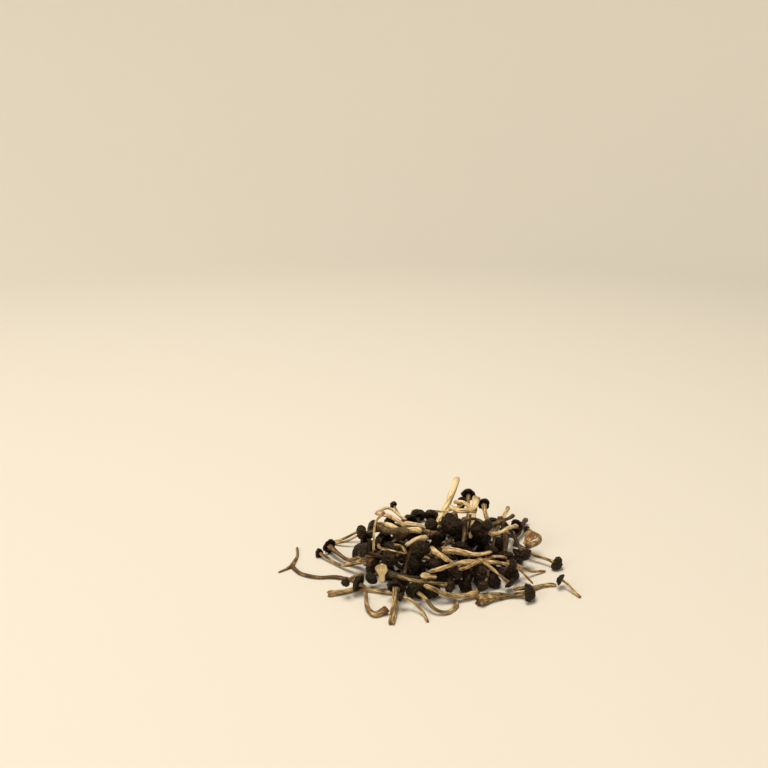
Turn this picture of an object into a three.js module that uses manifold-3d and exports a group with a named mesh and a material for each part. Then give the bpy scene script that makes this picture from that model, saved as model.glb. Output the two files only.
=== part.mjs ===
// A loose cluster of dried beech mushrooms, heaped by hand and lying on a flat surface.
// Millimetres, +Z up, +X to the right and +Y to the back. The origin is under the middle of the heap.
//
// Each mushroom is given by its plan, as seen from above, from the cut foot to the middle of the cap.
// Its height isn't given: the mushrooms are laid down one after the other, and each one bends
// gently over those that already lie there, as far as a dried stem does.
import * as THREE from 'three';
import { mergeVertices } from 'three/addons/utils/BufferGeometryUtils.js';
import Module from 'manifold-3d';

const wasm = await Module();
wasm.setup();

// What every mushroom follows
const GAP = 0.3;             // clear space between two pieces that touch
const STATION = 1.4;         // spacing of the points along a stem
const DROOP = 0.45;          // steepest fall of a stem beside what it lies on
const BEND = 1 / 18;         // sharpest bend of a dried stem, 1 / radius
const LEAN = 0.45;           // steepest lean of a whole stem
const FLAT = 0.86;           // height of a dried stem over its width
const HOOK = 9;              // length over which a stem turns up to its cap
const TAPER = 1.6;           // a stem has its neck's radius from this share of its length, as 1 / share
const ROUNDS = 5;            // times that a stem is laid again, as its turned-up cap moves with it
const START_HEIGHT = 20;
const WINDOW = 3;            // points on either side over which a stem's line is smoothed
const HEAP_MIDDLE = new THREE.Vector2(11.65, -42.35);

// How finely the surfaces are modelled, and their relief
const RING_STEP = 6.5;       // spacing of the rings along a stem
const STEM_SIDES = 5;
const CAP_SIDES = 2 * STEM_SIDES;
const CURVE_DIVISIONS = 400;
const WELD = 1e-4;           // points nearer than this are one
const TWIST = 0.05;          // turn of a stem's ridges, radians per mm
const RIDGE = 0.12;          // depth of the ridges over the radius
const FOOT_CUT = 0.7;        // length of the worn end of the foot over its radius
const FOOT_END = 0.6;        // its breadth at the end over its breadth at the stem
const GILL = 0.06;           // height of the gill folds over the cap's radius
const RIM_WAVE = 0.05;       // height of the waves of the rim over the cap's radius
const RIM_WAVES = 3;
const CREASE = 0.1;          // depth of the creases on the cap over their distance from its middle

const PALE_STEM = new THREE.MeshStandardMaterial({ color: 0xc3a57a, roughness: 0.85, metalness: 0 });
const DARK_CAP = new THREE.MeshStandardMaterial({ color: 0x2c211b, roughness: 0.75, metalness: 0 });
const CUT_FLESH = new THREE.MeshStandardMaterial({ color: 0xe2d3b0, roughness: 0.9, metalness: 0 });

// The rings of a cap's outline that carry the relief of the gills, the rim and the top
const GILL_RING = 0;
const RIM_RINGS = [1, 2];
const CREASE_RING = 3;

// Forms of cap, for a cap of radius 1. The outline runs from the gills round the inrolled rim to the
// top, as [height along the stem's line, distance out]. The room is what the form needs clear round
// it, as balls: [height, distance out, radius, how many]. The seat is how deep the stem goes in.
const CAPS = {
  button: {
    seat: 0.42,
    outline: [[0.06, 0.55], [0.0, 0.86], [0.38, 0.98], [0.95, 0.66], [1.2, 0]],
    room: [[0.42, 0, 1, 1]],
  },
  bell: {
    seat: 0.2,
    outline: [[0.06, 0.48], [-0.08, 0.84], [0.1, 1.0], [0.5, 0.72], [0.8, 0]],
    room: [[0.2, 0.68, 0.38, 12], [0.32, 0, 0.62, 1]],
  },
  disc: {
    seat: 0.1,
    outline: [[0.02, 0.5], [-0.12, 0.84], [0.04, 1.0], [0.3, 0.62], [0.4, 0]],
    room: [[0.1, 0.72, 0.34, 12], [0.1, 0, 0.45, 1]],
  },
};

// A seeded draw from 0 to 1
function seeded(seed) {
  let state = seed;
  return () => {
    state = (state + 0x6D2B79F5) | 0;
    let mixed = Math.imul(state ^ (state >>> 15), state | 1);
    mixed ^= mixed + Math.imul(mixed ^ (mixed >>> 7), mixed | 61);
    return ((mixed ^ (mixed >>> 14)) >>> 0) / 4294967296;
  };
}

// A stem with or without a cap. The plan is its points from above, with the radii at foot and neck.
function mushroom(plan, foot, neck, cap = 0, form = null, { up = 0, broad = 0 } = {}) {
  return { plan, foot, neck, cap, form, up, broad };
}

// The pieces in the order in which they lie: [name, mushrooms that share one foot, material, prop].
// A piece with a prop keeps that slope, as it is wedged in the heap and stands out of it.
const pieces = [];
function lay(name, material, stems, prop = null) {
  pieces.push({ name, material, stems, prop });
}

// A slice cut along a mushroom, lying flat
lay('slice_under_middle', CUT_FLESH, [
  mushroom([[8, -34], [22, -35]], 1.1, 1.1, 0, null, { broad: 4.5 }),
]);

// Clumps that the heap hides: mushrooms that spread from one foot, of drawn lengths and sizes
const HIDDEN_CLUMPS = [[-8, -34], [18, -48], [46, -42], [48, -10], [12, -12]];
const HIDDEN = {
  mushrooms: 6, uneven: 0.35, curved: 0.5, foot: 1.7, neck: 1.2,
  length: [12, 26], cap: [3.8, 5.0], up: [0.2, 0.7],
};
// More of their mushrooms, that fill the gaps between the others: [clump, x, y]
const HIDDEN_FILLERS = [
  [4, 10, 12], [3, 58, -26], [1, 14, -74], [1, 5, -74], [2, 49, -64],
  [0, -21, -32], [3, 41, -24], [0, -12, -17], [0, -18, -51],
];
const FILLER = { cap: 4.8, up: 0.4 };
const draw = seeded(26);
const between = ([low, high]) => low + (high - low) * draw();
HIDDEN_CLUMPS.forEach(([x, y], index) => {
  const turn = 2 * Math.PI * draw();
  const stems = [];
  for (let k = 0; k < HIDDEN.mushrooms; k++) {
    const way = turn + 2 * Math.PI * (k + HIDDEN.uneven * (draw() - 0.5)) / HIDDEN.mushrooms;
    const length = between(HIDDEN.length);
    const end = way + HIDDEN.curved * (draw() - 0.5);
    const cap = between(HIDDEN.cap);
    const up = between(HIDDEN.up);
    const half = [x + 0.5 * length * Math.cos(way), y + 0.5 * length * Math.sin(way)];
    const tip = [x + length * Math.cos(end), y + length * Math.sin(end)];
    const form = k % 2 ? 'bell' : 'button';
    stems.push(mushroom([[x, y], half, tip], HIDDEN.foot, HIDDEN.neck, cap, form, { up }));
  }
  for (const [clump, tipX, tipY] of HIDDEN_FILLERS) {
    if (clump === index) {
      const plan = [[x, y], [(x + tipX) / 2, (y + tipY) / 2], [tipX, tipY]];
      stems.push(mushroom(plan, HIDDEN.foot, HIDDEN.neck, FILLER.cap, 'button', { up: FILLER.up }));
    }
  }
  lay(`clump_under_${index + 1}`, DARK_CAP, stems);
});

// Round the edge, on the surface
lay('stem_forked', PALE_STEM, [
  mushroom([[-66, -44], [-60, -52], [-50, -56], [-39, -56], [-25, -61]], 1.1, 1.2),
  mushroom([[-66, -44], [-64, -33], [-65, -23]], 1.1, 0.9),
  mushroom([[-66, -44], [-69, -47], [-73, -50]], 0.9, 0.6),
]);
lay('clump_left_pair', PALE_STEM, [
  mushroom([[-19, -56], [-26, -46], [-32, -42], [-40, -35], [-45, -28]], 2.4, 1.5, 4.4, 'disc'),
  mushroom([[-19, -56], [-23, -54], [-33, -48], [-46, -37], [-51, -32]], 2.2, 0.9, 2.8, 'button'),
]);
lay('mushroom_front_long', PALE_STEM, [
  mushroom([[-42, -73], [-34, -71], [-26, -68], [-16, -70], [-6, -72], [-2, -72]], 1.6, 1.4, 2.9, 'bell'),
]);
lay('mushroom_front_hook', PALE_STEM, [
  mushroom([[-11, -89], [-17, -92], [-21, -85], [-22, -75], [-26, -71]], 2.0, 1.1, 4.3, 'bell'),
]);
lay('mushroom_front_button', PALE_STEM, [
  mushroom([[-24, -64], [-29, -69], [-33, -75]], 1.0, 0.9, 2.5, 'button'),
]);
lay('mushroom_front_upright', PALE_STEM, [
  mushroom([[-8, -99], [-7, -92], [-6, -84], [-5, -77]], 1.4, 1.6, 5.2, 'bell', { up: 0.3 }),
]);
lay('mushroom_front_thin', PALE_STEM, [
  mushroom([[11, -97], [9, -92], [5, -88], [1, -86], [-3, -86]], 0.8, 0.9, 2.4, 'button'),
]);
lay('mushroom_front_bow', PALE_STEM, [
  mushroom([[27, -80], [27, -84], [22, -90], [15, -90], [9, -84], [6, -81]], 1.2, 1.1, 3.6, 'disc'),
]);
lay('stem_front', PALE_STEM, [mushroom([[39, -74], [31, -78], [21, -80], [10, -79]], 2.5, 1.2)]);
lay('mushroom_front_lying', PALE_STEM, [
  mushroom([[-4, -77], [6, -77], [14, -76], [20, -76], [24, -76]], 1.1, 1.0, 3.7, 'button'),
]);
lay('mushroom_right_thick', PALE_STEM, [
  mushroom([[40, -81], [48, -77], [57, -75], [63, -75], [68, -77]], 3.2, 1.5, 4.8, 'bell', { up: 0.4 }),
]);
lay('stem_right_arch', PALE_STEM, [
  mushroom([[60, -75], [67, -71], [75, -66], [81, -64], [85, -64]], 1.1, 1.2),
]);
lay('mushroom_right_thin', PALE_STEM, [
  mushroom([[96, -75], [93, -71], [90, -67], [87, -65]], 0.7, 0.8, 3.1, 'bell'),
]);
lay('mushroom_right_button', PALE_STEM, [
  mushroom([[66, -34], [73, -36], [79, -39], [85, -43], [89, -46]], 1.6, 0.9, 3.9, 'button'),
]);
lay('mushroom_right_hook', PALE_STEM, [
  mushroom([[76, -22], [84, -16], [86, -9], [82, -5], [79, -2]], 1.5, 1.0, 2.3, 'button'),
]);
lay('stem_right_dark', PALE_STEM, [mushroom([[80, 7], [74, -8], [62, -26], [53, -32]], 1.7, 1.4)]);
lay('stem_right_orange', PALE_STEM, [mushroom([[74, -8], [66, -15], [56, -22], [48, -25]], 1.2, 1.0)]);
lay('clump_right_red_pair', PALE_STEM, [
  mushroom([[58, -55], [67, -56], [76, -52], [82, -49]], 0.8, 0.8),
  mushroom([[58, -55], [65, -59], [72, -64]], 0.8, 0.6),
]);
lay('clump_left_lean_pair', PALE_STEM, [
  mushroom([[-45, -17], [-37, -20], [-22, -21]], 1.0, 0.8),
  mushroom([[-45, -17], [-34, -15], [-23, -16]], 0.9, 0.8),
]);

// Wedged in the back of the heap, so that they stand out of it
lay('stem_back_twig', PALE_STEM, [mushroom([[67, 1], [61, -12], [54, -27]], 1.4, 1.1)], -0.15);
lay('mushroom_back_right', PALE_STEM, [
  mushroom([[53, -38], [51, -28], [50, -18], [50, -9]], 1.2, 1.3, 3.9, 'bell'),
], 0.2);
lay('stem_trumpet', PALE_STEM, [mushroom([[45, -10], [42, -24], [39, -38]], 2.1, 1.2)], -0.4);
lay('mushroom_back_gills', PALE_STEM, [
  mushroom([[35, -40], [38, -28], [40, -14], [41, -5]], 1.0, 1.0, 4.3, 'bell'),
], 0.35);
lay('mushroom_back_pin', PALE_STEM, [
  mushroom([[6, -20], [0, -12], [-6, -2]], 0.7, 0.6, 2.4, 'button'),
], 0.5);
lay('stem_pointing', PALE_STEM, [
  mushroom([[34, 2], [30, -7], [25, -17], [20, -26]], 1.9, 2.3),
], -0.6);

// Clumps with dark caps on their short stems
lay('clump_lower_left', DARK_CAP, [
  mushroom([[1, -46], [-10, -53], [-19, -55], [-24, -56]], 1.5, 1.1, 4.3, 'bell', { up: 0.4 }),
  mushroom([[1, -46], [-8, -56], [-15, -62], [-19, -66]], 1.5, 1.0, 3.7, 'button'),
]);
lay('clump_left_dark', DARK_CAP, [
  mushroom([[4, -38], [-5, -36], [-14, -33]], 1.6, 1.2, 4.4, 'button'),
  mushroom([[4, -38], [-2, -43], [-9, -48]], 1.6, 1.2, 4.0, 'bell', { up: 0.5 }),
  mushroom([[4, -38], [1, -30], [-4, -23]], 1.6, 1.1, 3.9, 'button'),
]);
lay('clump_front_caps', DARK_CAP, [
  mushroom([[48, -50], [46, -60], [42, -68]], 1.4, 1.0, 3.9, 'bell'),
  mushroom([[48, -50], [38, -60], [33, -70]], 1.4, 1.0, 3.9, 'button'),
  mushroom([[48, -50], [46, -66], [42, -77]], 1.4, 0.9, 3.2, 'button'),
  mushroom([[48, -50], [36, -62], [28, -72]], 1.4, 0.9, 3.1, 'button'),
  mushroom([[48, -50], [36, -56], [26, -65]], 1.4, 0.9, 3.6, 'button'),
]);
lay('clump_centre_low', DARK_CAP, [
  mushroom([[6, -36], [-3, -50], [-9, -60]], 1.6, 1.1, 4.6, 'bell', { up: 0.3 }),
  mushroom([[6, -36], [2, -50], [-1, -63]], 1.6, 1.0, 4.1, 'button'),
  mushroom([[6, -36], [9, -49], [9, -59]], 1.6, 1.0, 4.6, 'button', { up: 0.4 }),
  mushroom([[6, -36], [15, -50], [18, -63]], 1.6, 1.0, 4.1, 'button'),
]);
lay('clump_right_dark', DARK_CAP, [
  mushroom([[58, -26], [60, -37], [58, -47]], 1.6, 1.2, 5.6, 'bell', { up: 0.5 }),
  mushroom([[58, -26], [54, -38], [50, -49]], 1.6, 1.0, 4.0, 'button'),
  mushroom([[58, -26], [66, -36], [70, -46]], 1.6, 1.1, 4.4, 'bell', { up: 0.4 }),
]);
lay('mushroom_white_neck', PALE_STEM, [
  mushroom([[50, -44], [57, -40], [62, -35], [68, -29]], 1.3, 1.3, 4.0, 'bell'),
]);
lay('mushroom_round_cap', DARK_CAP, [
  mushroom([[66, -24], [62, -29], [57, -33], [51, -35], [43, -39]], 1.1, 1.1, 5.0, 'button', { up: 0.3 }),
]);
lay('clump_middle_caps', DARK_CAP, [
  mushroom([[36, -30], [28, -40], [20, -52]], 1.5, 1.0, 3.4, 'button'),
  mushroom([[36, -30], [35, -40], [32, -50]], 1.5, 1.2, 5.2, 'bell', { up: 0.4 }),
  mushroom([[36, -30], [43, -38], [47, -47]], 1.5, 1.0, 3.5, 'button'),
]);
lay('clump_upper_left', DARK_CAP, [
  mushroom([[0, -30], [-9, -26], [-19, -24]], 1.7, 1.2, 5.4, 'bell', { up: 0.4 }),
  mushroom([[0, -30], [-12, -31], [-25, -34]], 1.7, 1.0, 4.0, 'button'),
  mushroom([[0, -30], [-9, -37], [-18, -42]], 1.7, 1.0, 3.7, 'button'),
]);

// Pale stems and slices over the dark caps
lay('stem_olive', PALE_STEM, [mushroom([[-14, -66], [-3, -68], [8, -67]], 2.3, 1.9)]);
lay('slice_front', CUT_FLESH, [
  mushroom([[-13, -73], [-13, -66]], 0.9, 0.9, 0, null, { broad: 3.8 }),
], 1.1);
lay('slice_middle', CUT_FLESH, [
  mushroom([[17, -75], [8, -74]], 0.9, 0.9, 0, null, { broad: 3.2 }),
]);
lay('clump_hub', PALE_STEM, [
  mushroom([[43, -60], [33, -68], [24, -72], [13, -74]], 1.6, 1.3),
  mushroom([[43, -60], [37, -67], [29, -74]], 1.5, 1.1),
  mushroom([[43, -60], [50, -56], [58, -55]], 1.2, 0.9),
  mushroom([[43, -60], [51, -60], [60, -61]], 1.3, 1.1, 3.4, 'button'),
  mushroom([[43, -60], [51, -65], [58, -69]], 1.2, 1.0, 3.1, 'bell'),
]);
lay('stem_red_twist', PALE_STEM, [
  mushroom([[12, -52], [20, -57], [28, -62], [36, -62]], 1.1, 0.9),
]);
lay('stem_pale_down', PALE_STEM, [mushroom([[15, -55], [19, -62], [23, -72]], 1.4, 1.6)]);
lay('stem_pale_wide', PALE_STEM, [
  mushroom([[22, -56], [31, -58], [41, -58], [49, -56]], 2.0, 1.4),
]);
lay('stem_s_curve', PALE_STEM, [
  mushroom([[-15, -44], [-14, -52], [-9, -56], [0, -57]], 0.9, 0.7),
]);
lay('stem_curl', PALE_STEM, [mushroom([[-8, -42], [-2, -46], [1, -55]], 0.8, 0.9)]);
lay('stem_fork_pale', PALE_STEM, [mushroom([[1, -59], [6, -54], [13, -47]], 1.0, 1.7)]);
lay('stem_broad', PALE_STEM, [
  mushroom([[-14, -21], [-5, -33], [5, -44], [9, -49]], 1.5, 2.1),
]);
lay('stem_broad_olive', PALE_STEM, [mushroom([[-16, -30], [-7, -39], [2, -48]], 1.7, 2.5)]);
lay('stem_thin_arch', PALE_STEM, [mushroom([[-12, -24], [-17, -32], [-18, -46]], 0.8, 0.7)]);
lay('clump_green_pair', PALE_STEM, [
  mushroom([[15, -52], [13, -45], [11, -36]], 1.5, 1.4),
  mushroom([[15, -52], [19, -45], [19, -37]], 1.4, 1.2),
]);
lay('clump_top', DARK_CAP, [
  mushroom([[31, -23], [24, -29], [16, -35]], 1.6, 1.1, 4.1, 'button'),
  mushroom([[31, -23], [31, -31], [27, -38]], 1.6, 1.3, 6.2, 'bell', { up: 0.5 }),
]);
lay('clump_back_left_pair', PALE_STEM, [
  mushroom([[-16, -11], [-5, -20], [7, -28]], 1.5, 1.4),
  mushroom([[-16, -11], [-8, -8], [2, -16]], 1.3, 1.0),
]);
lay('clump_back_pair', PALE_STEM, [
  mushroom([[18, -21], [10, -16], [1, -5]], 1.6, 1.5),
  mushroom([[18, -21], [10, -26], [-1, -32]], 1.4, 1.9),
]);
lay('mushroom_bowed', PALE_STEM, [
  mushroom([[19, -31], [27, -29], [34, -23], [36, -14]], 0.8, 0.8, 3.3, 'button'),
]);
lay('clump_back_diagonal', PALE_STEM, [
  mushroom([[41, -38], [36, -27], [31, -19]], 1.5, 1.4),
  mushroom([[41, -38], [33, -35], [27, -29]], 1.7, 1.5),
]);
lay('flake_right', PALE_STEM, [
  mushroom([[72, -36], [78, -27]], 0.8, 0.8, 0, null, { broad: 4.2 }),
], 0.35);

// Points at even steps along a plan, as [x, y], and how far along each one is
function alongPlan(plan, seat) {
  const flat = plan.map(([x, y]) => new THREE.Vector3(x, y, 0));
  const line = new THREE.CatmullRomCurve3(flat, false, 'catmullrom', 0.5);
  line.arcLengthDivisions = CURVE_DIVISIONS;
  const whole = line.getLength();
  const length = whole - seat;
  const steps = Math.max(2, Math.ceil(length / STATION));
  const points = [];
  const along = [];
  for (let k = 0; k <= steps; k++) {
    const far = length * k / steps;
    const p = line.getPointAt(Math.min(1, far / whole));
    points.push([p.x, p.y]);
    along.push(far);
  }
  return { points, along, length };
}

// The unit directions of a stem at one point: along it, to its side and to its top
function directions(before, after) {
  const ahead = after.clone().sub(before).normalize();
  const side = new THREE.Vector3().crossVectors(ahead, new THREE.Vector3(0, 0, 1)).normalize();
  const top = new THREE.Vector3().crossVectors(side, ahead);
  return { ahead, side, top };
}

function prepare(stem) {
  const seat = stem.form ? CAPS[stem.form].seat * stem.cap : 0;
  const { points, along, length } = alongPlan(stem.plan, seat);
  const hook = Math.min(length, HOOK);
  stem.points = points;
  stem.along = along;
  stem.length = length;
  stem.radius = along.map((far) => stem.foot + (stem.neck - stem.foot) * Math.min(1, TAPER * far / length));
  stem.rise = along.map((far) => stem.up * hook / 2 * Math.max(0, (far - length + hook) / hook) ** 2);
}

// The breadth of a cut slice: its stem at the foot, widening to its rounded cap
function sliceBreadth(stem, far) {
  const t = far / stem.length;
  const widening = 0.45 + 0.55 * THREE.MathUtils.smoothstep(t, 0.3, 0.7);
  const rounding = Math.sqrt(1 - 0.8 * t ** 6);
  return stem.broad * widening * rounding;
}

function linePoints(stem, heights) {
  return stem.points.map(([x, y], k) => new THREE.Vector3(x, y, heights[k]));
}

// The room that a mushroom takes, as balls: middle, radius and the point of the stem it hangs on
function balls(stem, heights) {
  const line = linePoints(stem, heights);
  const last = line.length - 1;
  const found = [];
  line.forEach((middle, k) => {
    found.push({ middle, radius: stem.radius[k], station: k });
    if (stem.broad) {
      const { side } = directions(line[Math.max(0, k - 1)], line[Math.min(last, k + 1)]);
      for (const part of [-1, -0.5, 0.5, 1]) {
        const reach = part * (sliceBreadth(stem, stem.along[k]) - stem.radius[k]);
        const beside = middle.clone().addScaledVector(side, reach);
        found.push({ middle: beside, radius: stem.radius[k], station: k });
      }
    }
  });
  if (stem.form) {
    const { ahead, side, top } = directions(line[Math.max(0, last - 2)], line[last]);
    for (const [height, out, radius, count] of CAPS[stem.form].room) {
      for (let k = 0; k < count; k++) {
        const turn = 2 * Math.PI * k / count;
        const middle = line[last].clone()
          .addScaledVector(ahead, height * stem.cap)
          .addScaledVector(side, out * Math.cos(turn) * stem.cap)
          .addScaledVector(top, out * Math.sin(turn) * stem.cap);
        found.push({ middle, radius: radius * stem.cap, station: last });
      }
    }
  }
  return found;
}

// The lowest height at which a ball is clear of the surface and of all that lies there
function clearHeight(ball, lying, floorShare) {
  let height = ball.radius * floorShare;
  for (const other of lying) {
    const reach = ball.radius + other.radius + GAP;
    const apart = (ball.middle.x - other.middle.x) ** 2 + (ball.middle.y - other.middle.y) ** 2;
    if (apart < reach * reach) {
      height = Math.max(height, other.middle.z + Math.sqrt(reach * reach - apart));
    }
  }
  return height;
}

// The lowest gently bent line over the heights that a stem needs at its points
function drape(along, needs) {
  const count = along.length;
  const middle = along.reduce((sum, far) => sum + far, 0) / count;
  const level = needs.reduce((sum, need) => sum + need, 0) / count;
  let across = 0;
  let spread = 0;
  along.forEach((far, k) => {
    across += (far - middle) * (needs[k] - level);
    spread += (far - middle) ** 2;
  });
  const slope = THREE.MathUtils.clamp(across / spread, -LEAN, LEAN);
  const turning = DROOP / BEND;
  const tent = along.map((here) => Math.max(...along.map((far, k) => {
    const apart = Math.abs(here - far);
    const fall = apart < turning ? BEND * apart * apart / 2 : DROOP * apart - DROOP * turning / 2;
    return needs[k] - slope * far - fall;
  })));
  const smooth = tent.map((_, k) => {
    let sum = 0;
    for (let step = -WINDOW; step <= WINDOW; step++) {
      sum += tent[THREE.MathUtils.clamp(k + step, 0, count - 1)];
    }
    return sum / (2 * WINDOW + 1);
  });
  const lift = Math.max(...tent.map((height, k) => height - smooth[k]));
  return smooth.map((height, k) => height + lift + slope * along[k]);
}

// The heights along one stem, laid on what already lies there
function settle(stem, lying, prop) {
  const floorShare = stem.broad ? 1 : FLAT;
  let heights = stem.points.map(() => START_HEIGHT);
  for (let round = 0; round < ROUNDS; round++) {
    const needs = stem.points.map(() => -Infinity);
    for (const ball of balls(stem, heights)) {
      const above = ball.middle.z - heights[ball.station];
      needs[ball.station] = Math.max(needs[ball.station], clearHeight(ball, lying, floorShare) - above);
    }
    const wanted = needs.map((need, k) => need - stem.rise[k]);
    if (prop === null) {
      heights = drape(stem.along, wanted).map((height, k) => height + stem.rise[k]);
    } else {
      const base = Math.max(...wanted.map((need, k) => need - prop * stem.along[k]));
      heights = stem.along.map((far, k) => base + prop * far + stem.rise[k]);
    }
  }
  return heights;
}

// One piece laid down: its mushrooms share the height of their foot, and all are lifted clear
function settlePiece(piece, lying) {
  const settled = piece.stems.map((stem) => settle(stem, lying, piece.prop));
  const foot = Math.max(...settled.map((heights) => heights[0]));
  const joined = piece.stems.map((stem, index) => settled[index].map((height, k) => {
    const t = stem.along[k] / stem.length;
    return height + (foot - settled[index][0]) * (1 - t) ** 2 * (1 + 2 * t);
  }));
  let lift = -Infinity;
  piece.stems.forEach((stem, index) => {
    for (const ball of balls(stem, joined[index])) {
      const clear = clearHeight(ball, lying, stem.broad ? 1 : FLAT);
      lift = Math.max(lift, clear - ball.middle.z);
    }
  });
  return joined.map((heights) => heights.map((height) => height + lift));
}

// A ring of points round a stem, flattened and ridged as it dried
function stemRing(stem, line, k, ridgeTurn) {
  const last = line.length - 1;
  const { side, top } = directions(line[Math.max(0, k - 1)], line[Math.min(last, k + 1)]);
  const ring = [];
  for (let n = 0; n < STEM_SIDES; n++) {
    const turn = 2 * Math.PI * n / STEM_SIDES;
    const ridge = 1 - RIDGE * (0.5 + 0.5 * Math.cos(2 * (turn + ridgeTurn + TWIST * stem.along[k])));
    ring.push(line[k].clone()
      .addScaledVector(side, ridge * stem.radius[k] * Math.cos(turn))
      .addScaledVector(top, ridge * FLAT * stem.radius[k] * Math.sin(turn)));
  }
  return ring;
}

// The rings of a whole mushroom, from the foot to the top of its cap
function mushroomRings(stem, line, ridgeTurn) {
  const last = line.length - 1;
  const pieceCount = Math.max(2, Math.round(stem.length / RING_STEP));
  const rings = [];
  const start = stemRing(stem, line, 0, ridgeTurn);
  const { ahead } = directions(line[0], line[1]);
  const cut = ahead.clone().multiplyScalar(-FOOT_CUT * stem.foot);
  rings.push(start.map((p) => line[0].clone().lerp(p, FOOT_END).add(cut)));
  rings.push(start);
  for (let n = 1; n <= pieceCount; n++) {
    rings.push(stemRing(stem, line, Math.round(last * n / pieceCount), ridgeTurn));
  }
  return rings;
}

// The rings of a cap, with folds between its gills and a waved rim
function capRings(stem, line, ridgeTurn) {
  const last = line.length - 1;
  const { ahead, side, top } = directions(line[Math.max(0, last - 2)], line[last]);
  const { outline } = CAPS[stem.form];
  return outline.slice(0, -1).map(([height, out], n) => {
    const ring = [];
    for (let k = 0; k < CAP_SIDES; k++) {
      const turn = 2 * Math.PI * k / CAP_SIDES;
      const fold = k % 2 ? 1 : -1;
      const gill = n === GILL_RING ? GILL * fold : 0;
      const wave = RIM_RINGS.includes(n) ? RIM_WAVE * Math.sin(RIM_WAVES * turn + ridgeTurn) : 0;
      const crease = n === CREASE_RING && k % 2 ? 1 - CREASE : 1;
      ring.push(line[last].clone()
        .addScaledVector(ahead, (height + gill + wave) * stem.cap)
        .addScaledVector(side, crease * out * Math.cos(turn) * stem.cap)
        .addScaledVector(top, crease * out * Math.sin(turn) * stem.cap));
    }
    return ring;
  });
}

// A closed skin over rings. Neighbouring rings have as many points, or the second has twice as many.
function skin(rings, firstPole, lastPole) {
  const points = [firstPole];
  const starts = rings.map((ring) => {
    points.push(...ring);
    return points.length - ring.length;
  });
  points.push(lastPole);
  const faces = [];
  const first = rings[0].length;
  for (let k = 0; k < first; k++) {
    faces.push([0, starts[0] + k, starts[0] + (k + 1) % first]);
  }
  for (let n = 0; n + 1 < rings.length; n++) {
    const here = rings[n].length;
    const next = rings[n + 1].length;
    const ratio = next / here;
    for (let k = 0; k < here; k++) {
      const a = starts[n] + k;
      const b = starts[n] + (k + 1) % here;
      const c = starts[n + 1] + ratio * k;
      const d = starts[n + 1] + (ratio * (k + 1)) % next;
      if (ratio === 2) {
        const between = starts[n + 1] + ratio * k + 1;
        faces.push([a, between, b], [a, c, between], [b, between, d]);
      } else {
        faces.push([a, d, b], [a, c, d]);
      }
    }
  }
  const end = rings[rings.length - 1].length;
  const tip = points.length - 1;
  const lastStart = starts[starts.length - 1];
  for (let k = 0; k < end; k++) {
    faces.push([tip, lastStart + (k + 1) % end, lastStart + k]);
  }
  return { points, faces };
}

// A mushroom's own surface: the stem, and its cap grown on it
function mushroomSkin(stem, heights, ridgeTurn) {
  const line = linePoints(stem, heights);
  const last = line.length - 1;
  const rings = mushroomRings(stem, line, ridgeTurn);
  const { ahead } = directions(line[Math.max(0, last - 2)], line[last]);
  const footPole = rings[0].reduce((sum, p) => sum.add(p), new THREE.Vector3()).divideScalar(STEM_SIDES);
  let endPole = line[last];
  if (stem.form) {
    rings.push(...capRings(stem, line, ridgeTurn));
    const { outline } = CAPS[stem.form];
    endPole = line[last].clone().addScaledVector(ahead, outline[outline.length - 1][0] * stem.cap);
  }
  return skin(rings, footPole, endPole);
}

// A flat slice: two faces with a straight cut edge, as wide as the mushroom was
function sliceSkin(stem, heights) {
  const line = linePoints(stem, heights);
  const last = line.length - 1;
  const rings = line.filter((_, k) => k % 2 === 0 || k === last).map((middle) => {
    const k = line.indexOf(middle);
    const { side, top } = directions(line[Math.max(0, k - 1)], line[Math.min(last, k + 1)]);
    const breadth = sliceBreadth(stem, stem.along[k]);
    return [[1, -1], [1, 1], [-1, 1], [-1, -1]].map(([across, up]) => middle.clone()
      .addScaledVector(side, across * breadth)
      .addScaledVector(top, up * stem.radius[k]));
  });
  return skin(rings, line[0], line[last]);
}

// What would reach below the surface is pressed flat against it
function toManifold({ points, faces }) {
  const geometry = new THREE.BufferGeometry();
  const flat = points.flatMap((p) => [p.x - HEAP_MIDDLE.x, p.y - HEAP_MIDDLE.y, Math.max(0, p.z)]);
  geometry.setAttribute('position', new THREE.Float32BufferAttribute(flat, 3));
  geometry.setIndex(faces.flat());
  const merged = mergeVertices(geometry, WELD);
  return new wasm.Manifold(new wasm.Mesh({
    numProp: 3,
    vertProperties: merged.attributes.position.array,
    triVerts: new Uint32Array(merged.index.array),
  }));
}

function toGeometry(solid) {
  const mesh = solid.getMesh();
  const geometry = new THREE.BufferGeometry();
  geometry.setAttribute('position', new THREE.Float32BufferAttribute(mesh.vertProperties, 3));
  geometry.setIndex(new THREE.Uint32BufferAttribute(mesh.triVerts, 1));
  geometry.computeVertexNormals();
  return geometry;
}

const cluster = new THREE.Group();
const lying = [];
const turnDraw = seeded(5);
for (const piece of pieces) {
  piece.stems.forEach(prepare);
  const heights = settlePiece(piece, lying);
  piece.stems.forEach((stem, index) => lying.push(...balls(stem, heights[index])));
  const solids = piece.stems.map((stem, index) => {
    const ridgeTurn = 2 * Math.PI * turnDraw();
    const laid = heights[index];
    return toManifold(stem.broad ? sliceSkin(stem, laid) : mushroomSkin(stem, laid, ridgeTurn));
  });
  const joined = solids.reduce((sum, solid) => sum.add(solid));
  const mesh = new THREE.Mesh(toGeometry(joined), piece.material);
  mesh.name = piece.name;
  cluster.add(mesh);
}

export default cluster;
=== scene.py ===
# %% [markdown]
# # A loose cluster of dried beech mushrooms
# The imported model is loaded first. It gives the place of every mushroom, and its coarse solids stay in
# the simulation. Each one is replaced here by a finer piece of the same shape, in the same place.
# Lengths in the tables are in millimetres, and meshes are in metres.

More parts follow.
